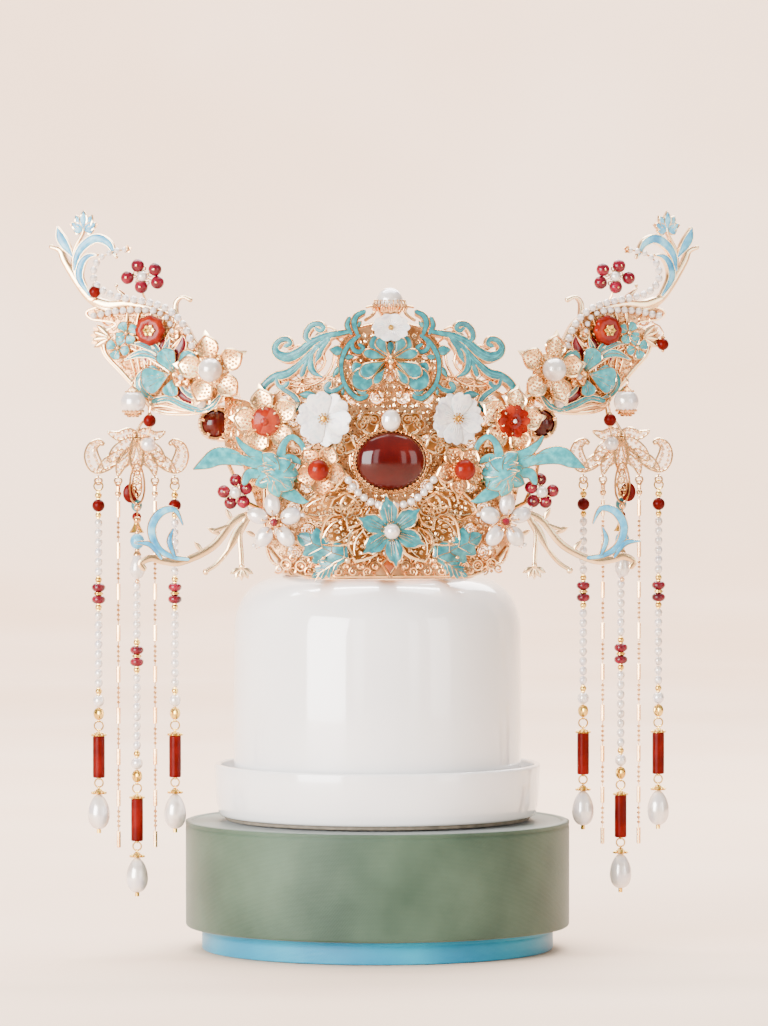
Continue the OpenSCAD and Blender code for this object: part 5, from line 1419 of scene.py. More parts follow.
# %% Leaf clusters
cluster_blades = [[[46, 203, 6], [53, 203.6, 5.4], [58.4, 204.6, 4.6], [62.4, 206.2, 3.2],
                   [64.6, 207.4, 1.0]],
                  [[58, 203.6, 3.0], [64, 206.0, 6.4], [70, 206.6, 7.6], [75, 204.0, 5.6],
                   [80.2, 201.4, 0.8]],
                  [[48, 205, 5], [55.6, 207.4, 4.4], [60.4, 211.0, 3.0], [62.6, 214.0, 1.6]],
                  [[45, 205, 5], [43.8, 211, 3.4], [40.4, 214.4, 2.8], [36.4, 211.6, 2.8],
                   [34.8, 206.6, 2.4], [33.8, 199.4, 2.0]],
                  [[46, 204, 5], [40.4, 205.6, 4.0], [35.6, 203.2, 1.2]],
                  [[52, 197, 4], [47, 194.6, 5.6], [41, 191.2, 5.8], [36, 188.4, 3.4], [33.4, 188.0, 0.8]],
                  [[52, 199, 4], [57.4, 199.4, 4.6], [59.4, 196.2, 3.2]]]
cluster_plane = flat(51.6)
cluster = [a for knots in cluster_blades for a in enamelled(knots, cluster_plane, 1.0, 1.0, 7)]
bud = spot(flat(53.4), 46, 199)


def folds(lon, lat):
    """Seven folds that wind up the bud."""
    return 1 + 0.1 * np.cos(7 * lon + 2.4 * lat)


cluster.append(lump(bud, half=(7.9, 7.4, 4.6), cols=60, rows=16, wave=folds, paint=1))
lat = np.linspace(0.25, 1.5, 9)
for k in range(7):
    lon = (np.pi * (2 * k) - 2.4 * lat) / 7
    grow = 1.03 * folds(lon, lat)
    fold_x, fold_z = 7.9 * np.sin(lat) * np.cos(lon) * grow, 7.4 * np.sin(lat) * np.sin(lon) * grow
    cluster.append(wires(bud(fold_x, fold_z, 4.75 * np.cos(lat)), 0.18, 5, (0.3, -1, 0.2)))
draped = [[-168, 6.4, 4.6, 15, 8, 2.6], [-190, 6.8, 1.4, 14.5, 8, 3.4], [-150, 5.4, 0.8, 13.5, 7.4, 4.2],
          [-112, 3.4, 0.4, 10.5, 6.4, 3.6], [38, -1, 3, 9.4, 6, 3.0], [-20, 1, -1, 9, 6, 2.6]]
for turn, u, v, length, width, out in draped:
    sheet = turned(shifted(bud, u, v, out), turn, 2, -1.5, width, 2.6, length)
    waved = bent(sheet, lambda u, v: 0.25 * np.sin(1.3 * v + 0.4 * u))
    cluster += enamel_leaf(waved, length, width, 0.56, 0.5, 0.22, 0.7, rows=13)
cluster.append(post(bud, 2.0, -1, -7.2))
piece("leaf_clusters", both(cluster), [gold, light_turquoise],
      ["leaf_cluster_left", "leaf_cluster_right"])

# %% [markdown]
# Berries and pearls on wire stems tremble on the real crown. Each berry is a glass ball with a gold
# grain on top, and the stems of a spray spring from one knot behind its heart.

# %% Berry sprays
def small_rings(place, angles, reach, out, thick):
    """Ring of small wire links round a spray's heart."""
    turn = np.radians(angles)
    return loops(reach * np.cos(turn), reach * np.sin(turn), 0.9, place, out, thick, 10, 5)


spray = [[58.6, 193.4, 3], [62.6, 196.6, 1], [67.6, 192, 2], [59.6, 187.8, 2], [64.8, 187.4, 1]]
spray_plane = flat(45.4)
knot_x, knot_z, knot_out = 62.8, 191.6, 0.4
t = np.linspace(0, 1, 7)
sprays = []
for x, z, out in spray:
    berry = spot(spray_plane, x, z, out)
    bow = np.sin(np.pi * t)
    stem_path = spray_plane(knot_x + (x - knot_x) * t, knot_z + (z - knot_z) * t + 0.5 * bow,
                            knot_out + (out - knot_out) * t - 0.8 * bow)
    sprays += [lump(berry, half=(2.7, 2.7, 2.6), cols=20, rows=11, paint=1),
               wires(stem_path, 0.34, 5, (0.2, 1, 0.3)),
               lump(berry, h=2.75, half=(0.5, 0.5, 0.4), cols=8, rows=5)]
heart = spot(spray_plane, 63, 191.6, 4.4)
sprays += [lump(heart, half=(2.4, 2.4, 2.3), cols=20, rows=11, paint=2),
           grains_round(heart, 12, 2.3, -0.6, 0.36),
           rod(spray_plane,
               [[61.3, 194.8, -5.6], [61.6, 193.6, -3.6], [62.2, 192.4, -1.4], [62.8, 191.6, 0.4]], 0.55),
           rod(spray_plane, [[62.8, 191.6, 0.4], [63, 191.6, 3.0]], 0.4),
           small_rings(heart, [20, 100, 170, 250, 320], 3.6, -1.8, 0.26)]
piece("berry_sprays", both(sprays), [gold, ruby, pearl],
      ["berry_spray_left", "berry_spray_right"], sharp=24)

# %% Rice pearl flowers
GEM = np.array([[0.05, 1.0], [0.5, 0.86], [0.88, 0.42], [1.0, 0.0], [0.88, -0.42], [0.5, -0.86],
                [0.05, -1.0]])
rice = [[84, 7, 8.6, 6], [160, 7.2, 8, 6.4], [232, 7.6, 8.2, 6], [306, 7.6, 8.4, 6.4], [20, 7.4, 8.2, 6]]
rice_base = spot(front, 45.4, 179.6, 5.4)
flower = []
for k, (turn, reach, length, width) in enumerate(rice):
    a = math.radians(turn)
    c, s = math.cos(a), math.sin(a)
    along = np.linspace(0.6, reach, 4)
    tip, tip_turn = reach + length / 2 + 1.0, a + 0.1
    cap = shifted(rice_base, (tip - 0.6) * c, (tip - 0.6) * s)
    flower += [lump(rice_base, reach * c, reach * s, 2.6, (length * 0.55, width * 0.55, 2.6), turn, 28, 17,
                    wave=lambda lon, lat, k=k: 1 + 0.05 * np.cos(lon + k), paint=1),
               wires(rice_base(along * c, along * s, np.full(4, -0.6)), 0.6, 6, (0, -1, 0)),
               ball(rice_base, 0.9, 12, 9, tip * math.cos(tip_turn), tip * math.sin(tip_turn), 2.4, 1),
               grains_round(cap, 5, 0.9, 1.6, 0.3)]
t = np.linspace(0, 1, 5)
for i in range(10):
    a = math.radians(36 * i + 12)
    reach = 3.6 if i % 2 else 4.6
    u, v = reach * math.cos(a), reach * math.sin(a)
    flower += [wires(rice_base(u * t, v * t, 2.2 + 3.2 * t**0.6), 0.24, 5, (0.2, 0.3, 1)),
               ball(rice_base, 0.52, 10, 6, u, v, 5.5)]
flower += [turned_on(shifted(rice_base, h=3.6), GEM * 1.7, 9, paint=2),
           turned_on(rice_base, [[0.3, 1.9], [2.2, 1.6], [2.5, 0.4], [2.5, -0.1], [1.5, -0.4], [1.5, -5.0],
                                 [0.3, -5.1]], 24)]
piece("rice_pearl_flowers", both(flower), [gold, pearl, ruby],
      ["rice_flower_left", "rice_flower_right"], sharp=30)

# %% [markdown]
# Low at each side a branch of flared stems sweeps out. A stem is the same ribbon with a half-round
# section on both faces; the arches are sky-blue enamel and the blades at the tips gold.

# %% Lower branches
def stem(knots, place, out, depth, high=0.5, n=5):
    """Solid stem between two half-round faces that lie depth apart."""
    section = [[math.cos(a), 0, high * math.sin(a) - (depth if math.sin(a) <= 0 else 0)]
               for a in np.linspace(0, 2 * math.pi, 13)[:-1]]
    return ribbon(knots, place, section, out, n)


branch_plane = flat(45.4)
branch_stems = [[[53, 183.6, 2.6], [62.8, 180.4, 3.2], [72, 169.6, 3.2], [84.6, 163.4, 3.0],
                 [92, 163.6, 3.0], [97, 165, 3.0], [101.4, 163, 2.6], [100.4, 160.8, 2.6]],
                [[58, 182.2, 2.2], [63, 172, 2.0], [69.6, 163.2, 2.0], [74.4, 159.8, 1.8]],
                [[56, 182.6, 2.2], [60.6, 176, 2.0], [60.4, 166, 2.0], [60.2, 160.6, 1.8]],
                [[60, 181.6, 1.4], [65, 178.4, 1.6], [71.4, 176, 1.8]],
                [[57, 182, 2], [62, 175, 4], [67, 165.4, 1]]]
branch_scroll = [[84.4, 178.6, 0.8], [87.6, 184.6, 2.4], [93.6, 183.4, 3.6], [97.2, 177, 3.6],
                 [94.8, 169.4, 3.2], [88.6, 165.4, 2.4], [82.6, 164.4, 2]]
branch = [stem(k, branch_plane, 1.4, 1.0) for k in branch_stems]
branch += enamelled(branch_scroll, branch_plane, 1.3, 1.2)
branch += enamelled([[88.4, 176.6, 1], [89.8, 171.6, 2.6], [87.8, 166, 1.6]], branch_plane, 1.5, 1.3)
branch += enamelled([[93.4, 165, 1.6], [97.6, 170.4, 2.6], [103.8, 171.2, 0.8]], branch_plane, 1.3, 1.2)
for turn in (-150, -120, -90, -60, -30):
    sheet = turned(spot(branch_plane, 60.2, 161, 1.2, turn), 0, 0, 0.3, 2.2)
    branch.append(petal(5.6, 2.2, 0.5, sheet, domed(0.5), 1.4))
branch += [ball(spot(branch_plane, 74.8, 159.2, 0.9), 1.4),
           lump(spot(branch_plane, 60.2, 161.4, 1.6), half=(1.2, 1.2, 1.1), cols=14),
           turned_on(spot(branch_plane, 52, 182, 0),
                     [[0.3, 2.2], [1.6, 2.0], [2.1, 1.2], [2.0, -0.1], [1.5, -2.5], [0.3, -2.6]], 20)]
for x, z, turn, length, width in ((64, 179.8, 62, 6, 2.2), (68.6, 174.4, 26, 6.4, 2.4),
                                  (76, 167, 52, 6, 2.2), (58.6, 176, 210, 5, 2)):
    branch.append(petal(length, width, 0.5, spot(branch_plane, x, z, 1.4, turn), domed(0.4), 0.9))
piece("lower_branches", both(branch), [pale_gold, sky], ["lower_branch_left", "lower_branch_right"])

# %% [markdown]
# The wings sweep up and back. Their plate keeps its node, in the darker gold as painted shade behind
# the wire, and carries ribs of rolled wire with red enamel between them, stems, leaves and rows of
# pearls.

# %% Wing plate and stems
# The wing plate takes the darker gold: painted shade behind the wire.
for name in ("wing_frame_left", "wing_frame_right"):
    in_metal(name, painted_shade_gold)
wing_edge = [[65.2, 229], [73, 224], [84, 222.8], [94, 224.6], [99, 231], [107, 240], [114, 248],
             [115, 255.6], [109, 260.4], [119, 262.4], [120, 266], [106, 269], [90, 266.6], [81, 260],
             [76, 251.6], [65.2, 244]]
wing_stems = [[[112, 266.6, 5], [118.7, 270.4, 3.8], [123.8, 276.5, 3.4], [129.6, 286, 3.0],
               [131.6, 290.6, 2.6], [135.2, 292, 1.4]],
              [[123.6, 276, 2.6], [126, 284, 2], [125.8, 291, 1.4], [122.6, 297.4, 1.2], [122, 300, 1.2]],
              [[84.4, 261.6, 2.4], [84.6, 268.6, 2], [82, 271.4, 1.6], [79, 270.4, 1.8]],
              [[103, 267.6, 2.6], [105.4, 271.6, 2.4], [108.6, 275, 0.8]]]
edge_stems = [([[94, 266.6, 3], [104, 268.6, 3.4], [112, 268, 4.4], [118.7, 270.4, 3.6]], 0.2, 2.0, 0.8),
              ([[66, 229.4, 1.6], [73, 224.6, 1.6], [84, 223.6, 1.8], [93, 225.2, 1.8], [99, 232, 1.6],
                [106.6, 240.6, 1.6], [113, 248, 1.6], [114, 255, 1.6]], 0.1, 1.8, 0.6),
              ([[66.4, 244.4, 1.6], [76, 252, 1.6], [81, 260, 1.8], [89.6, 266, 2.0], [100, 268, 2.2]], 0.1,
               1.8, 0.6)]
wing_blades = [[[125.6, 283, 1.6], [124.6, 288.4, 3.0], [121.6, 293, 3.8], [116.6, 295.8, 4.0],
                [111.6, 293.6, 3.0], [109, 288.4, 0.8]],
               [[126.6, 288.6, 1.4], [129.4, 292.8, 3.8], [131.4, 296.4, 3.8], [132.6, 300.4, 0.8]],
               [[119.6, 272.4, 1.6], [123.6, 279.2, 3.2], [122.8, 285.2, 3.2], [120, 288.4, 2.4],
                [116.8, 288.8, 0.8]]]
stems = [stem(k, wing, 0.1, 1.8, 0.7) for k in wing_stems]
stems += [stem(k, wing, out, depth, high) for k, out, depth, high in edge_stems]
for k in wing_blades:
    stems += enamelled(k, wing, 0.4, 2.2)
for turn, length in ((90, 8.6), (62, 7.6), (118, 7.6), (32, 6.4), (148, 6.4), (4, 4.6), (176, 4.6)):
    sheet = turned(spot(wing, 122, 298.8, 0.3 if turn == 90 else 0.0, turn), 0, 0, 0.4, 2.6)
    stems += [petal(length, 3.6, 0.55, sheet, domed(0.45), 1.7),
              petal(length, 3.6, 0.55, sheet, domed(0.6, 0.05), 0.5, inset=0.28, paint=1)]
for turn in (-30, -6, 18, 42):
    stems.append(petal(8.4, 3.2, 0.5, spot(wing, 111, 254.6, 0.2, turn), domed(0.8), 1.8))
ball_x, ball_z = np.array([[135.4, 292.2], [108.8, 288.0], [78.8, 270.2], [108.8, 276.2], [116.6, 288.9]]).T
stems.append(beads_on(ball_x, ball_z, np.array([1.0, 0.8, 1.1, 0.8, 0.7]), wing, -0.6, 12, 8))
piece("wing_stems", both(stems), [pale_gold, sky])

feather = []
rib_ends = [[104, 266.6], [99, 266.8], [94, 266], [89, 263.6], [85, 260], [81.6, 255.4], [78.4, 250.4],
            [74, 246], [68.6, 242.6]]
for i, end in enumerate(np.array(rib_ends)):
    root = np.array([100, 236.0]) + np.array([-1.9, -0.5]) * i
    mid = (root + end) / 2 + [2.4, 2.0]
    feather.append(stem([[*root, 0.8], [*mid, 1.7], [*end, 1.5]], wing, 0.5, 0.6, 0.7))
red_fields = [
    [[84.6, 244, 1.2], [83, 248.4, 4.2], [81.4, 252.4, 3.4], [81.4, 255.4, 0.8]],
    [[90, 246, 1.0], [90, 251, 3.0], [88.4, 254.6, 0.8]],
    [[74.6, 227.4, 1.2], [79.4, 229.4, 3.8], [83.6, 232.4, 3.2], [86.6, 235.6, 0.8]],
    [[96, 244, 1.0], [97.4, 249, 2.8], [97, 252.4, 0.8]],
]
for k in red_fields:
    feather += [ribbon(k, wing, tray(1.4), 1.0), painted(ribbon(k, wing, filling(), 1.0), 2)]
x, z = grid_inside(wing_edge, 2.7, 1.1)
feather += [curls(x, z, 1.15, wing, 0.2, 0.26), beads_on(x + 1.2, z + 0.6, 0.4, wing, 0.3, 5, 3),
            curls(x[::2], z[::2], 1.5, wing, -1.8, 0.26)]
hole_x, hole_z = np.array([[92, 232], [98, 238], [104, 244], [108, 251], [104, 259], [112, 262], [71, 234],
                           [74, 241]], float).T
feather += [loops(hole_x, hole_z, 2.4, wing, out, 0.34) for out in (0.15, -1.75)]
edge_x, edge_z = smooth(wing_edge + wing_edge[:1], 5)[:-1].T
edge_away = away_from(wing, edge_x, edge_z, 0 * edge_x)[None]
for out in (0.0, -1.6):
    feather.append(wires(wing(edge_x, edge_z, out + 0 * edge_x), 0.5, 6, edge_away, looped=True))
low_ribs = [[[93.6, 226.4, 3], [87.6, 226, 2.2], [81, 224.4, 2.4], [74, 225.4, 2.4], [70, 229.6, 2]],
            [[88, 232, 1.4], [82, 228.6, 2], [76, 228.8, 1.6]]]
feather += [stem(k, wing, 0.6, 1.0, 0.8) for k in low_ribs]
piece("wing_feathers", both(feather), [gold, sky, red_enamel])

# %% Wing iris and leaves
iris_petals = [[84.6, 239.6, 66, 11.4, 8.6, 0.72], [83.6, 239.6, 132, 11.6, 8.6, 0.72],
               [86, 239.6, -18, 12.4, 11.4, 0.72], [84.6, 238.4, -76, 8.4, 7.0, 0.72],
               [88, 238.6, 20, 8.4, 5.6, 0.72]]
iris = []
for i, (x, z, turn, length, width, belly) in enumerate(iris_petals):
    sheet = turned(spot(wing, x, z, 2.9 + 0.3 * (i % 3), turn), 0, 8, 0.9, width)
    waved = bent(sheet, lambda u, v, n=i: 0.34 * np.sin(1.1 * u + 1.7 * v + n))
    iris += enamel_leaf(waved, length, width, belly, 0.4, 0.24, 0.9, vein=False, rows=14)
    s = np.linspace(0.1, 0.8, 8)
    for m in (-0.5, 0.0, 0.5):
        vein = waved(s * length, m * s * width * 0.5, 0.38 * (1 - m * m) + 0 * s)
        iris.append(wires(vein, 0.1, 4, (0.1, -1, 0.1)))
wing_leaves = [[[88, 243, 1.4], [93, 247, 3.0], [98.6, 248, 3.4], [104.6, 245.4, 0.8]],
               [[88, 244, 1.2], [92.6, 249, 2.4], [98, 251.8, 2.4], [102, 252, 0.6]],
               [[88, 244, 1.2], [88.2, 249.4, 3.0], [86.4, 254.6, 0.8]],
               [[89.4, 244.6, 1.2], [91.8, 250, 2.8], [95.2, 254, 0.8]],
               [[91, 241.6, 1.2], [96.8, 240, 3.4], [98.8, 235.6, 4.0], [96.2, 231.2, 3.0],
                [92.6, 229.6, 0.8]],
               [[65.4, 231.6, 1.2], [69.4, 226.6, 3.0], [74.4, 224.8, 3.0], [80.6, 226.6, 3.2],
                [87, 229.4, 2.8], [92.6, 228.4, 2.6]],
               [[72, 233.6, 1.0], [76.4, 230.4, 2.4], [80.4, 232.6, 2.0], [82.4, 236, 1.4]]]
for knots in wing_leaves:
    iris += enamelled(knots, wing, 2.3, 0.6)
    x, z = smooth(np.array(knots)[:, :2], 6)[2:-2].T
    iris.append(wires(wing(x, z, 3.3 + 0 * x), 0.16, 5, (0.1, -1, 0)))
for knots in ([[106, 252], [99, 248.6], [93, 244.6], [87, 240.6]],
              [[103.6, 257], [98, 253.4], [92, 247], [88, 241]]):
    iris.append(drawn(knots, wing, 0.4, 2.2, 7, 6))
for x, z, turn in ((103.8, 256.6, 60), (107.4, 250.4, 20)):
    blossom = spot(wing, x, z, 3.2)
    for sheet in flower_places(blossom, 4, turn, 12, 0.5, 4, 0.6, 5):
        iris += enamel_leaf(sheet, 5.0, 4.6, 0.7, 0.3, 0.2, 0.6, vein=True, rows=11)
    iris += [lump(blossom, h=1.0, half=(0.9, 0.9, 0.8), cols=12), grains_round(blossom, 6, 1.2, 0.8, 0.3)]
small = spot(wing, 81.4, 238.2, 3.8)
for sheet in flower_places(small, 5, 90, 10, 0.5, 3.4, 0.4, 4.4):
    iris += filigree_petal(sheet, 4.4, 3.4, 0.64, rim=0.3, pitch=1.2, size=0.5)[:2]
    iris.append(petal(4.4, 3.4, 0.64, sheet, lambda s, t: -0.1 + level(s, t), 0.5))
iris += [turned_on(small, [[0.3, 1.2], [1.3, 1.0], [1.2, -4.0], [0.3, -4.1]], 14),
         grains_round(small, 8, 1.6, 0.9, 0.34), ball(small, 1.2, h=1.8, paint=2)]
piece("wing_iris_blooms", both(iris), [gold, light_turquoise, pearl],
      ["wing_iris_left", "wing_iris_right"])

# %% Wing flowers
wing_base = spot(wing, 68.4, 241.4, 6.6)
blooms = gold_flower(wing_base, 14.4, 9.0, 80, 4.5)
blooms += [post(spot(wing, 70.2, 241.8, 6.6), 1.3, 0, -6.2), ball(wing_base, 5.0, 40, 25, h=4.4, paint=2),
           grains_round(wing_base, 18, 4.6, 2.3, 0.5)]
piece("wing_blooms", both(blooms), [pale_gold, gold, pearl],
      ["wing_flower_left", "wing_flower_right"])

# %% Wing stones
stone_base = spot(wing, 94.0, 257.6, 3.8)
stone_profile = [[0.2, 0.2], [5.8, 0.2], [6.15, 0.9], [5.9, 1.9], [4.9, 2.7], [4.0, 2.9], [3.0, 2.7],
                 [0.2, 2.9]]
discs = [turned_on(stone_base, stone_profile, 64, wave=lambda a: 1 + 0.045 * np.cos(8 * a), paint=1)]
for sheet in flower_places(shifted(stone_base, h=3.1), 6, 0, 14, 0.3, 1.8):
    discs.append(petal(2.6, 1.7, 0.6, sheet, domed(0.3), 0.5))
discs += [lump(stone_base, h=3.7, half=(0.75, 0.75, 0.7), cols=12),
          grains_round(stone_base, 8, 1.3, 3.5, 0.3),
          turned_on(stone_base, [[0.3, 0.3], [2.0, 0.2], [2.0, -3.9], [0.3, -4.0]], 20)]
piece("wing_stone_discs", both(discs), [yellow_gold, carnelian],
      ["wing_stone_left", "wing_stone_right"])

# %% [markdown]
# Pearl rows are threaded on a wire: the curve is walked at even steps of one pearl's width, so the
# pearls just touch whatever the curve's own points are.

# %% Wing pearls and berries
def walked(knots, step, start=0.0):
    """Points at even distances along the smooth curve."""
    line = smooth(knots, 14)
    length = np.concatenate([[0], np.cumsum(np.linalg.norm(np.diff(line, axis=0), axis=1))])
    along = np.arange(start, length[-1], step)
    return np.stack([np.interp(along, length, line[:, i]) for i in range(line.shape[1])], -1)


upper_row = [[104.4, 291.0], [109.6, 290.2], [114.8, 287.4], [117.4, 283], [117, 277.6], [112.4, 273.2],
             [105, 271], [96, 269.4], [88.6, 267], [83, 262.6], [79.4, 257], [77.4, 250.8]]
lower_row = [[85.4, 257], [87.6, 262.6], [93, 265.6], [101, 266], [109.4, 265.4], [117.6, 263.6]]
wing_pearls = []
for row, size in ((upper_row, 1.62), (lower_row, 1.5)):
    at = walked(row, 2 * size + 0.06, 0.4)
    radius = np.where(np.arange(len(at)) < 4, size * 0.78, size)
    wing_pearls.append(painted(balls(wing(at[:, 0], at[:, 1], 2.2), radius, 12, 7), 1))
    x, z = smooth(row, 8).T
    wing_pearls.append(wires(wing(x, z, 2.2 + 0 * x), 0.34, 5, (0.2, -1, 0)))
for x, z, count, size in ((77.0, 249.6, 5, 3.0), (85.0, 256.0, 6, 2.6), (103.6, 291.2, 5, 1.8)):
    cup = spot(wing, x, z, 2.2)
    for sheet in flower_places(cup, count, 90, 16, 0.3, size * 0.7):
        wing_pearls.append(petal(size, size * 0.72, 0.6, sheet, domed(0.3), 0.5))
    wing_pearls.append(lump(cup, h=0.6, half=(0.8, 0.8, 0.7), cols=12))
for x, z in ([92, 282.8], [99, 284.4], [103.2, 279.4], [97.6, 275.6], [91, 277.4]):
    berry = spot(wing, x, z, 4.6)
    berry_stem = wing(np.linspace(97.0, x, 4), np.linspace(280.0, z, 4), np.array([2.6, 2.4, 3.0, 4.2]))
    wing_pearls += [lump(berry, half=(2.8, 2.8, 2.7), cols=20, rows=11, paint=2),
                    lump(berry, h=2.85, half=(0.5, 0.5, 0.4), cols=8, rows=5),
                    wires(berry_stem, 0.36, 5, (0.2, 0.3, 1))]
heart = spot(wing, 97, 280, 5.6)
small_base = spot(wing, 73.6, 227.6, 3.8)
wing_pearls += [ball(heart, 2.2, 22, 13, paint=1), grains_round(heart, 12, 2.35, 0.2, 0.36),
                rod(wing, [[96.4, 268.7, -0.8], [97.6, 272.4, 0.6], [98.2, 276.4, 1.6], [97.2, 280, 2.6]],
                    0.5),
                rod(wing, [[97.0, 280.0, 2.6], [97.0, 280.0, 4.4]], 0.5),
                small_rings(heart, [20, 95, 165, 240, 310], 3.3, -1.6, 0.28),
                ball(small_base, 2.25, 20, 13, paint=1)]
for sheet in flower_places(shifted(small_base, h=-1.8), 5, 90, 12, 0.4, 3.4):
    wing_pearls.append(petal(4.6, 3.6, 0.62, sheet, domed(0.3), 0.6))
wing_pearls += [grains_round(small_base, 10, 2.2, -0.8, 0.4),
                rod(small_base, [[0, 0, -1.8], [0, 0, -3.7]], 0.9, (1, 0, 0), 8)]
piece("wing_pearl_rows", both(wing_pearls), [gold, pearl, ruby],
      ["wing_beads_left", "wing_beads_right"], sharp=24)

# %% Red beads at the wing tips
def capped(place, r):
    """Coral bead between two gold ends."""
    return [ball(place, r, 22, 13, paint=1), ball(place, 0.9, 12, v=r + 0.4),
            ball(place, 0.7, 12, v=-r - 0.2), grains_round(shifted(place, v=r * 0.8), 6, 1.1, 0.6, 0.4)]


left_bead = spot(wing, 117.0, 273.6, 2.4)
right_bead = spot(wing, 119.8, 251.7, 1.0)
left_hook = rod(left_bead, [[0, -2.4, 0], [0.6, -3.4, -0.8], [1.6, -3.8, -1.8]], 0.4, (0, 0.2, 1))
right_hook = rod(right_bead, [[0, 2.6, 0], [0.2, 5.0, 0], [-1.4, 7.6, -0.4], [-4.6, 9.2, -1.0]], 0.36,
                 (0.2, 0, 1))
piece("tip_bead_left", [mirrored(joined([*capped(left_bead, 2.5), left_hook]))], [gold, coral])
piece("tip_bead_right", [*capped(right_bead, 2.5), right_hook], [gold, coral])

# %% Wing drops
def curved(start, steps, radius, n=6, sides=7):
    """Round wire through points that are given as steps from a start."""
    return wires(smooth(start + np.array(steps), n), radius, sides, (0.31, 0.17, 0.9))


PEARL_R, CORAL_R, LOW_PEARL_R = 5.2, 2.7, 3.0
drop_at, coral_at, low_pearl_at = np.array([[102.6, -13.4, 228.0], [95.8, -13.4, 220.4],
                                            [96.4, -13.4, 210.6]])
drop = [painted(balls([drop_at], PEARL_R, 40, 25), 1),
        lathe([[0.3, -6.0], [1.4, -5.9], [2.6, -5.2], [3.7, -4.3], [3.9, -3.5], [3.5, -3.4], [0.3, -5.0]],
              32, drop_at),
        lathe([[0.3, 6.6], [1.2, 6.3], [2.2, 5.2], [3.2, 4.3], [2.8, 4.4], [0.3, 5.3]], 24, drop_at)]
for count, radius, z, size in ((12, 3.2, -4.9, 0.6), (8, 2.0, -5.7, 0.6)):
    drop.append(ring_of_grains(count, radius, z, size, drop_at))
turn = 2 * np.pi * np.arange(14) / 14
for radius, z, size in ((4.1, -3.7, 0.62), (3.1, 4.4, 0.4)):
    drop.append(balls(drop_at + np.stack([radius * np.cos(turn), radius * np.sin(turn), z + 0 * turn], -1),
                      size, 8, 5))
drop.append(curved(drop_at, [[0, 0, 6.4], [0.6, -0.4, 8.2], [0.2, 1.4, 10.2], [0, 6, 10.2], [0, 10.4, 9.4]],
                   0.5))
for at, r, paint, cols in ((coral_at, CORAL_R, 2, 24), (low_pearl_at, LOW_PEARL_R, 1, 28)):
    cap = [[0.3, r + 0.8], [0.7, r + 0.6], [1.0, r - 0.1], [1.5, r - 0.55], [0.3, r - 0.3]]
    drop += [painted(balls([at], r, cols, cols // 2 + 3), paint), lathe(cap, 14, at),
             lathe([[a, -z] for a, z in cap[::-1]], 14, at)]
drop.append(curved(coral_at, [[0, 0, 3.2], [-0.4, 0, 6.4], [0.2, 1.2, 9.6], [0, 3.8, 10.6]], 0.42))
drop.append(wires([coral_at + [0, 0, -3.3], low_pearl_at + [0, 0, 3.6]], 0.45, 7, (0, 1, 0)))
drop.append(curved(low_pearl_at, [[0, 0, -3.5], [0.9, 0, -4.9], [0, 0, -6.2], [-0.9, 0, -4.9], [0, 0, -3.5]],
                   0.32))
piece("wing_drops_dressed", both(drop), [gold, pearl, coral], ["wing_drop_left", "wing_drop_right"])

# %% [markdown]
# A plaque hangs under each wing and carries the strings of a tassel. It is a few open bands that
# overlap; each has a wire round its edge, and curls and grains inside.

# %% Tassel plaques
def tassel_sheet(y):
    """Upright sheet whose x is measured from a tassel's middle."""
    return shifted(flat(y), TASSEL_X)


PLAQUE_Y = 9.0
plaque_plane = tassel_sheet(PLAQUE_Y)


def lace(knots, place, out, wire=0.42, curl=0.86, n=5):
    """Open band: a wire round its edge, and a row of curls and grains down its middle."""
    line = smooth(knots, n)
    step = unit(np.gradient(line[:, :2], axis=0))
    side = np.stack([-step[:, 1], step[:, 0]], -1) * line[:, 2:] / 2
    edge = np.concatenate([line[:, :2] + side, line[::-1, :2] - side[::-1]])
    rim = wires(place(edge[:, 0], edge[:, 1], out + 0 * edge[:, 0]), wire, 6, (0, -1, 0), looped=True)
    parts = [rim]
    for share, first in ((-0.5, 0), (0.5, 1)):
        at = (line[:, :2] + side * share)[first::2]
        keep = line[first::2, 2] > 2.0
        parts += [curls(at[keep, 0], at[keep, 1], curl, place, out + 0.1 * share, 0.2, turns=1.6),
                  beads_on(at[keep, 0], at[keep, 1], 0.34, place, out, 5, 3)]
    return parts


plaque_bands = [[[0, 214.4, 2.4], [3.4, 215.2, 3.8], [7.4, 214.0, 3.4], [11.4, 215.4, 1.0]],
                [[0.4, 212.6, 1.8], [3.8, 210.8, 4.6], [8.0, 207.4, 5.0], [11.6, 203.6, 1.6]],
                [[5.6, 208.2, 1.6], [9.2, 204.8, 4.4], [12.6, 202.0, 4.6], [15.6, 199.4, 2.0]],
                [[14.4, 199.6, 2.6], [17.0, 201.8, 5.8], [18.6, 205.6, 5.8], [18.2, 209.4, 4.0],
                 [15.6, 211.4, 2.4], [13.6, 210.6, 1.0]],
                [[2.4, 209.0, 1.6], [4.6, 205.4, 4.0], [6.6, 201.8, 3.8], [7.6, 198.0, 1.2]],
                [[0, 213.4, 2.4], [0.4, 208.4, 5.2], [0.2, 203.4, 5.0], [0, 197.6, 1.4]]]
half_plaque = []
for i, knots in enumerate(plaque_bands):
    half_plaque += lace(knots, plaque_plane, 0.7 + 0.12 * (i % 3))
long_stem = [[0, 214.4], [1.6, 209], [5.4, 204.6], [10.6, 201.4], [15.2, 199.6]]
end_x, end_z = [11.4, 14.4, 15.6, 7.6], [215.6, 211.0, 199.4, 198.2]
half_plaque += [drawn(long_stem, plaque_plane, 0.42, 0.5, 7, 6),
                drawn([[0, 214.4], [0.6, 208], [2.4, 203], [6.8, 199.4]], plaque_plane, 0.36, 0.5, 7, 6),
                beads_on(end_x, end_z, 0.75, plaque_plane, 0.8, 12, 8)]
plaque_work = half_plaque + [mirrored(a, TASSEL_X) for a in half_plaque]
turn = 2 * np.pi * np.arange(14) / 14
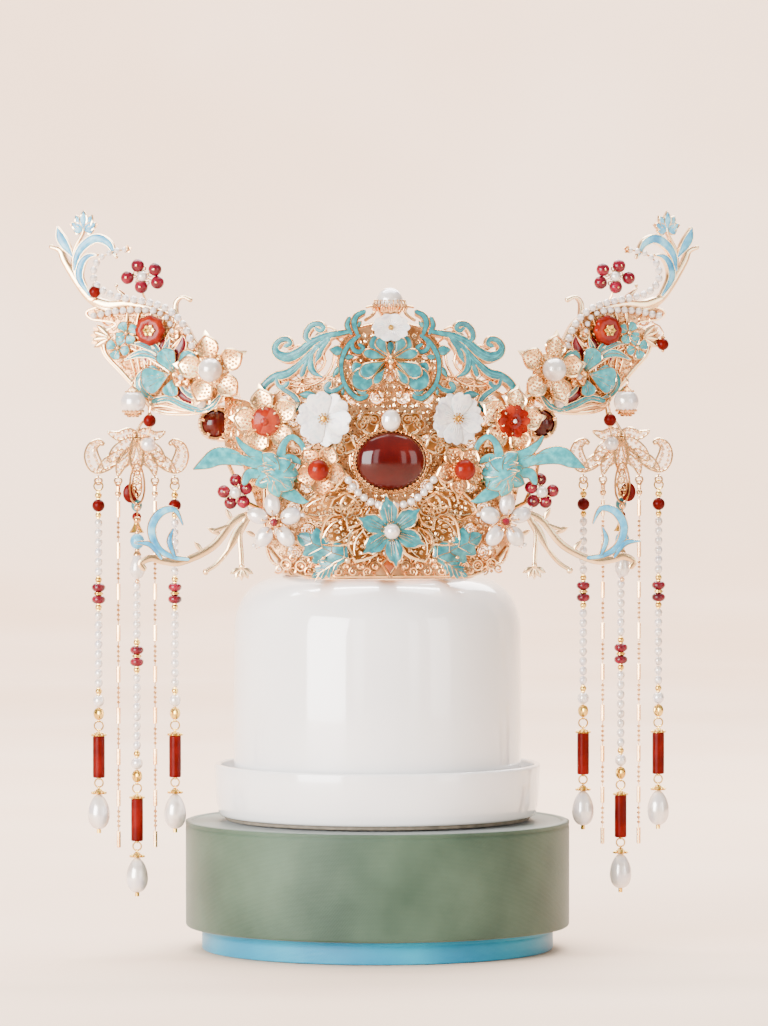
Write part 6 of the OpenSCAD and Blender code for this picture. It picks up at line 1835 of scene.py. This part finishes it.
for x in (-STRAND_STEP, -CHAIN_STEP, 0, CHAIN_STEP, STRAND_STEP):
    ring = plaque_plane(x + 1.5 * np.cos(turn), 195.4 + 1.5 * np.sin(turn), 0.6)
    top_z = 198.4 if abs(x) < 12 else 197.8
    plaque_work += [wires(ring, 0.4, 6, (0, 1, 0), looped=True),
                    rod(plaque_plane, [[x, 196.6, 0.6], [x, top_z, 0.6]], 0.42, (0, 1, 0))]
hook = smooth([[0, 215.8, 0.6], [-2.4, 219.6, 0.6], [-5.4, 221.6, 0.4], [-5.6, 223.8, -3.4],
               [-5.4, 225.2, -6.2]])
plaque_work += [rod(plaque_plane, hook, 0.6, (0.31, 0.17, 0.9), 8),
                loops([0], [214.2], 1.6, plaque_plane, 0.8, 0.42)]
piece("tassel_plaques", both(plaque_work), [pale_gold], ["tassel_bar_left", "tassel_bar_right"])

# %% [markdown]
# In front of each middle string hangs a short pendant: an open oval of filigree with a coral disc
# behind it, a turquoise bead and a drop pearl. It is small trim on rings, so it has no node.

# %% Centre pendants
pendant_plane = tassel_sheet(PLAQUE_Y + 4.6)
OVAL_Z = 194.4
turn = 2 * np.pi * np.arange(28) / 28
pendant = []
for half_w, half_h, out, thick in ((3.0, 8.4, 0, 0.45), (1.9, 5.6, 0.2, 0.3)):
    egg = half_w * np.cos(turn) * (1 - 0.18 * np.sin(turn))
    pendant.append(wires(pendant_plane(egg, OVAL_Z + half_h * np.sin(turn), out), thick, 6, (0, 1, 0),
                         looped=True))
x, z = grid_inside(np.stack([3.0 * np.cos(turn), OVAL_Z + 8.4 * np.sin(turn)], -1), 1.5, 0.8)
pendant += [curls(x, z, 0.62, pendant_plane, 0.1, 0.18),
            lump(spot(pendant_plane, 2.6, 190.4, -1.4), half=(3.2, 4.0, 1.4), cols=24, paint=1)]
pendant += [ball(spot(pendant_plane, 0, z), r, cols) for z, r,
            cols in ((184.6, 1.3, 14), (174.2, 1.0, 14), (166.9, 1.0, 14), (154.0, 1.0, 14),
                     (179.4, 1.6, 16))]
pendant.append(lump(spot(pendant_plane, 0, 170.6), half=(3.0, 3.3, 2.8), cols=20, rows=13, paint=2))
girdle = 2 * np.pi * np.arange(12) / 12
pendant.append(wires(pendant_plane(2.3 * np.cos(girdle), 170.6, -2.3 * np.sin(girdle)), 0.28, 4, (0, 0, 1),
                     looped=True))
pearl_at = pendant_plane(0, 160.6, 0)
pendant += [painted(lathe([[0.2, 5.4], [0.9, 4.9], [1.7, 3.4], [2.6, 1.2], [3.2, -1.2], [3.1, -3.0],
                           [2.2, -4.8], [1.1, -5.5], [0.2, -5.6]], 28, pearl_at), 3),
            lathe([[0.2, 6.2], [1.0, 5.9], [1.6, 4.8], [1.7, 4.2], [0.2, 4.4]], 14, pearl_at),
            rod(pendant_plane, [[0, 203.0, 0], [0, 203.6, 0.2], [0, 204.4, -1.0], [0, 204.2, -3.4]], 0.4,
                (1, 0, 0.1))]
for top, low in ((186.0, 181.0), (177.8, 175.0), (173.4, 173.0), (168.0, 166.0), (155.6, 153.4)):
    pendant.append(rod(pendant_plane, [[0, top, 0], [0, low, 0]], 0.34, (0, 1, 0)))
piece("centre_pendants", both(pendant), [gold, coral, sky, pearl])

# %% [markdown]
# The picture is taken from the front, a little from the left and from just above the stand. A long
# lens and a small shift put the crown where the photographer had it. The floor and the backdrop are
# stage, not part of the object, and large soft lights give pearls and enamel their broad highlights.

# %% Camera, stage and light
PICTURE_W, PICTURE_H = 768, 1026
SCALE, DISTANCE = 2.4, 2700.0
AZIMUTH, ELEVATION = math.radians(-5.5), math.radians(2.3)
TARGET_PIXEL = (377.5, 564.7)
target = np.array([0, 0, 160.0])
back = np.array([math.sin(AZIMUTH) * math.cos(ELEVATION), -math.cos(AZIMUTH) * math.cos(ELEVATION),
                 math.sin(ELEVATION)])
camera_data = bpy.data.cameras.new("camera")
camera_data.sensor_fit = "VERTICAL"
camera_data.sensor_height = 36.0
camera_data.lens = SCALE * DISTANCE / PICTURE_H * camera_data.sensor_height
camera_data.shift_x = (PICTURE_W / 2 - TARGET_PIXEL[0]) / PICTURE_H
camera_data.shift_y = (TARGET_PIXEL[1] - PICTURE_H / 2) / PICTURE_H
camera_data.clip_end = 20
camera = bpy.data.objects.new("camera", camera_data)
bpy.context.scene.collection.objects.link(camera)
camera.location = (target + back * DISTANCE) * MM
right = unit(np.cross(-back, [0, 0, 1.0]))
above = np.cross(right, -back)
camera.rotation_mode = "QUATERNION"
camera.rotation_quaternion = Matrix(np.stack([right, above, back], axis=1).tolist()).to_quaternion()
bpy.context.scene.camera = camera


def stage_sheet(name, knots, width, tones, rough):
    """Sheet that follows a profile of y and z across the scene."""
    line = smooth(knots, 12)
    x = np.array([-width, width])
    points = np.stack(np.broadcast_arrays(x[None], line[:, :1], line[:, 1:]), -1).reshape(-1, 3)
    i = np.arange(len(line) - 1)[:, None] * 2
    quads = np.concatenate([i, i + 1, i + 3, i + 2], axis=1)
    mesh = bpy.data.meshes.new(name)
    mesh.from_pydata((points * MM).tolist(), [], quads.tolist())
    mesh.shade_smooth()
    mesh.materials.append(finish(name, tones, rough, 3, (200, 0.02)))
    made = bpy.data.objects.new(name, mesh)
    bpy.context.scene.collection.objects.link(made)
    return made


stage_sheet("floor", [[-12000, -0.2], [0, -0.2], [2700, -0.2], [3300, 160], [3660, 800], [3720, 1700],
                      [3740, 3400]], 9000, "#ECCAAE #F3D6BE", 0.75)


def soft_light(name, place, aim, size, power, colour=(1, 1, 1)):
    """Area light in millimetres that faces its aim."""
    data = bpy.data.lights.new(name, "AREA")
    data.shape = "RECTANGLE"
    data.size, data.size_y = size[0] * MM, size[1] * MM
    data.energy = power
    data.color = colour
    lamp = bpy.data.objects.new(name, data)
    bpy.context.scene.collection.objects.link(lamp)
    facing = unit(np.array(place, float) - np.array(aim, float))
    across = unit(np.cross([0, 0, 1.0], facing))
    turned_to = np.column_stack([across, np.cross(facing, across), facing, np.array(place, float) * MM])
    lamp.matrix_world = Matrix(np.vstack([turned_to, [0, 0, 0, 1]]).tolist())
    return lamp


soft_light("key", (-1080, -1030, 430), (0, 0, 180), (900, 900), 72)
soft_light("fill", (1150, -1150, 420), (0, 0, 160), (500, 900), 8, (1.0, 0.98, 0.96))
soft_light("top", (0, 260, 1500), (0, 0, 160), (1600, 1000), 40)
soft_light("rim", (300, 1000, 900), (0, 0, 200), (900, 500), 16)
soft_light("wall_wash", (0, 1500, 3000), (0, 3700, 700), (4200, 900), 420)
soft_light("left_strip", (-700, -1900, 520), (0, 0, 190), (320, 1300), 7)
soft_light("right_strip", (820, -1900, 420), (0, 0, 190), (280, 1100), 4, (1.0, 0.97, 0.92))
world = bpy.data.worlds.new("studio")
bpy.context.scene.world = world
world.use_nodes = True
tree = world.node_tree
around = add_node(tree, "TexCoord").outputs["Generated"]
height = reckoned(tree, "MULTIPLY_ADD", add_node(tree, "SeparateXYZ", Vector=around).outputs["Z"], 0.5, 0.5)
SKY_TONES = [(0.1, 0.08, 0.06, 1), (0.34, 0.31, 0.28, 1), (1.0, 0.99, 0.97, 1)]
background = tree.nodes["Background"]
feed(tree, background.inputs["Color"], ramp(tree, height, SKY_TONES, 0, 1))
background.inputs["Strength"].default_value = 0.9
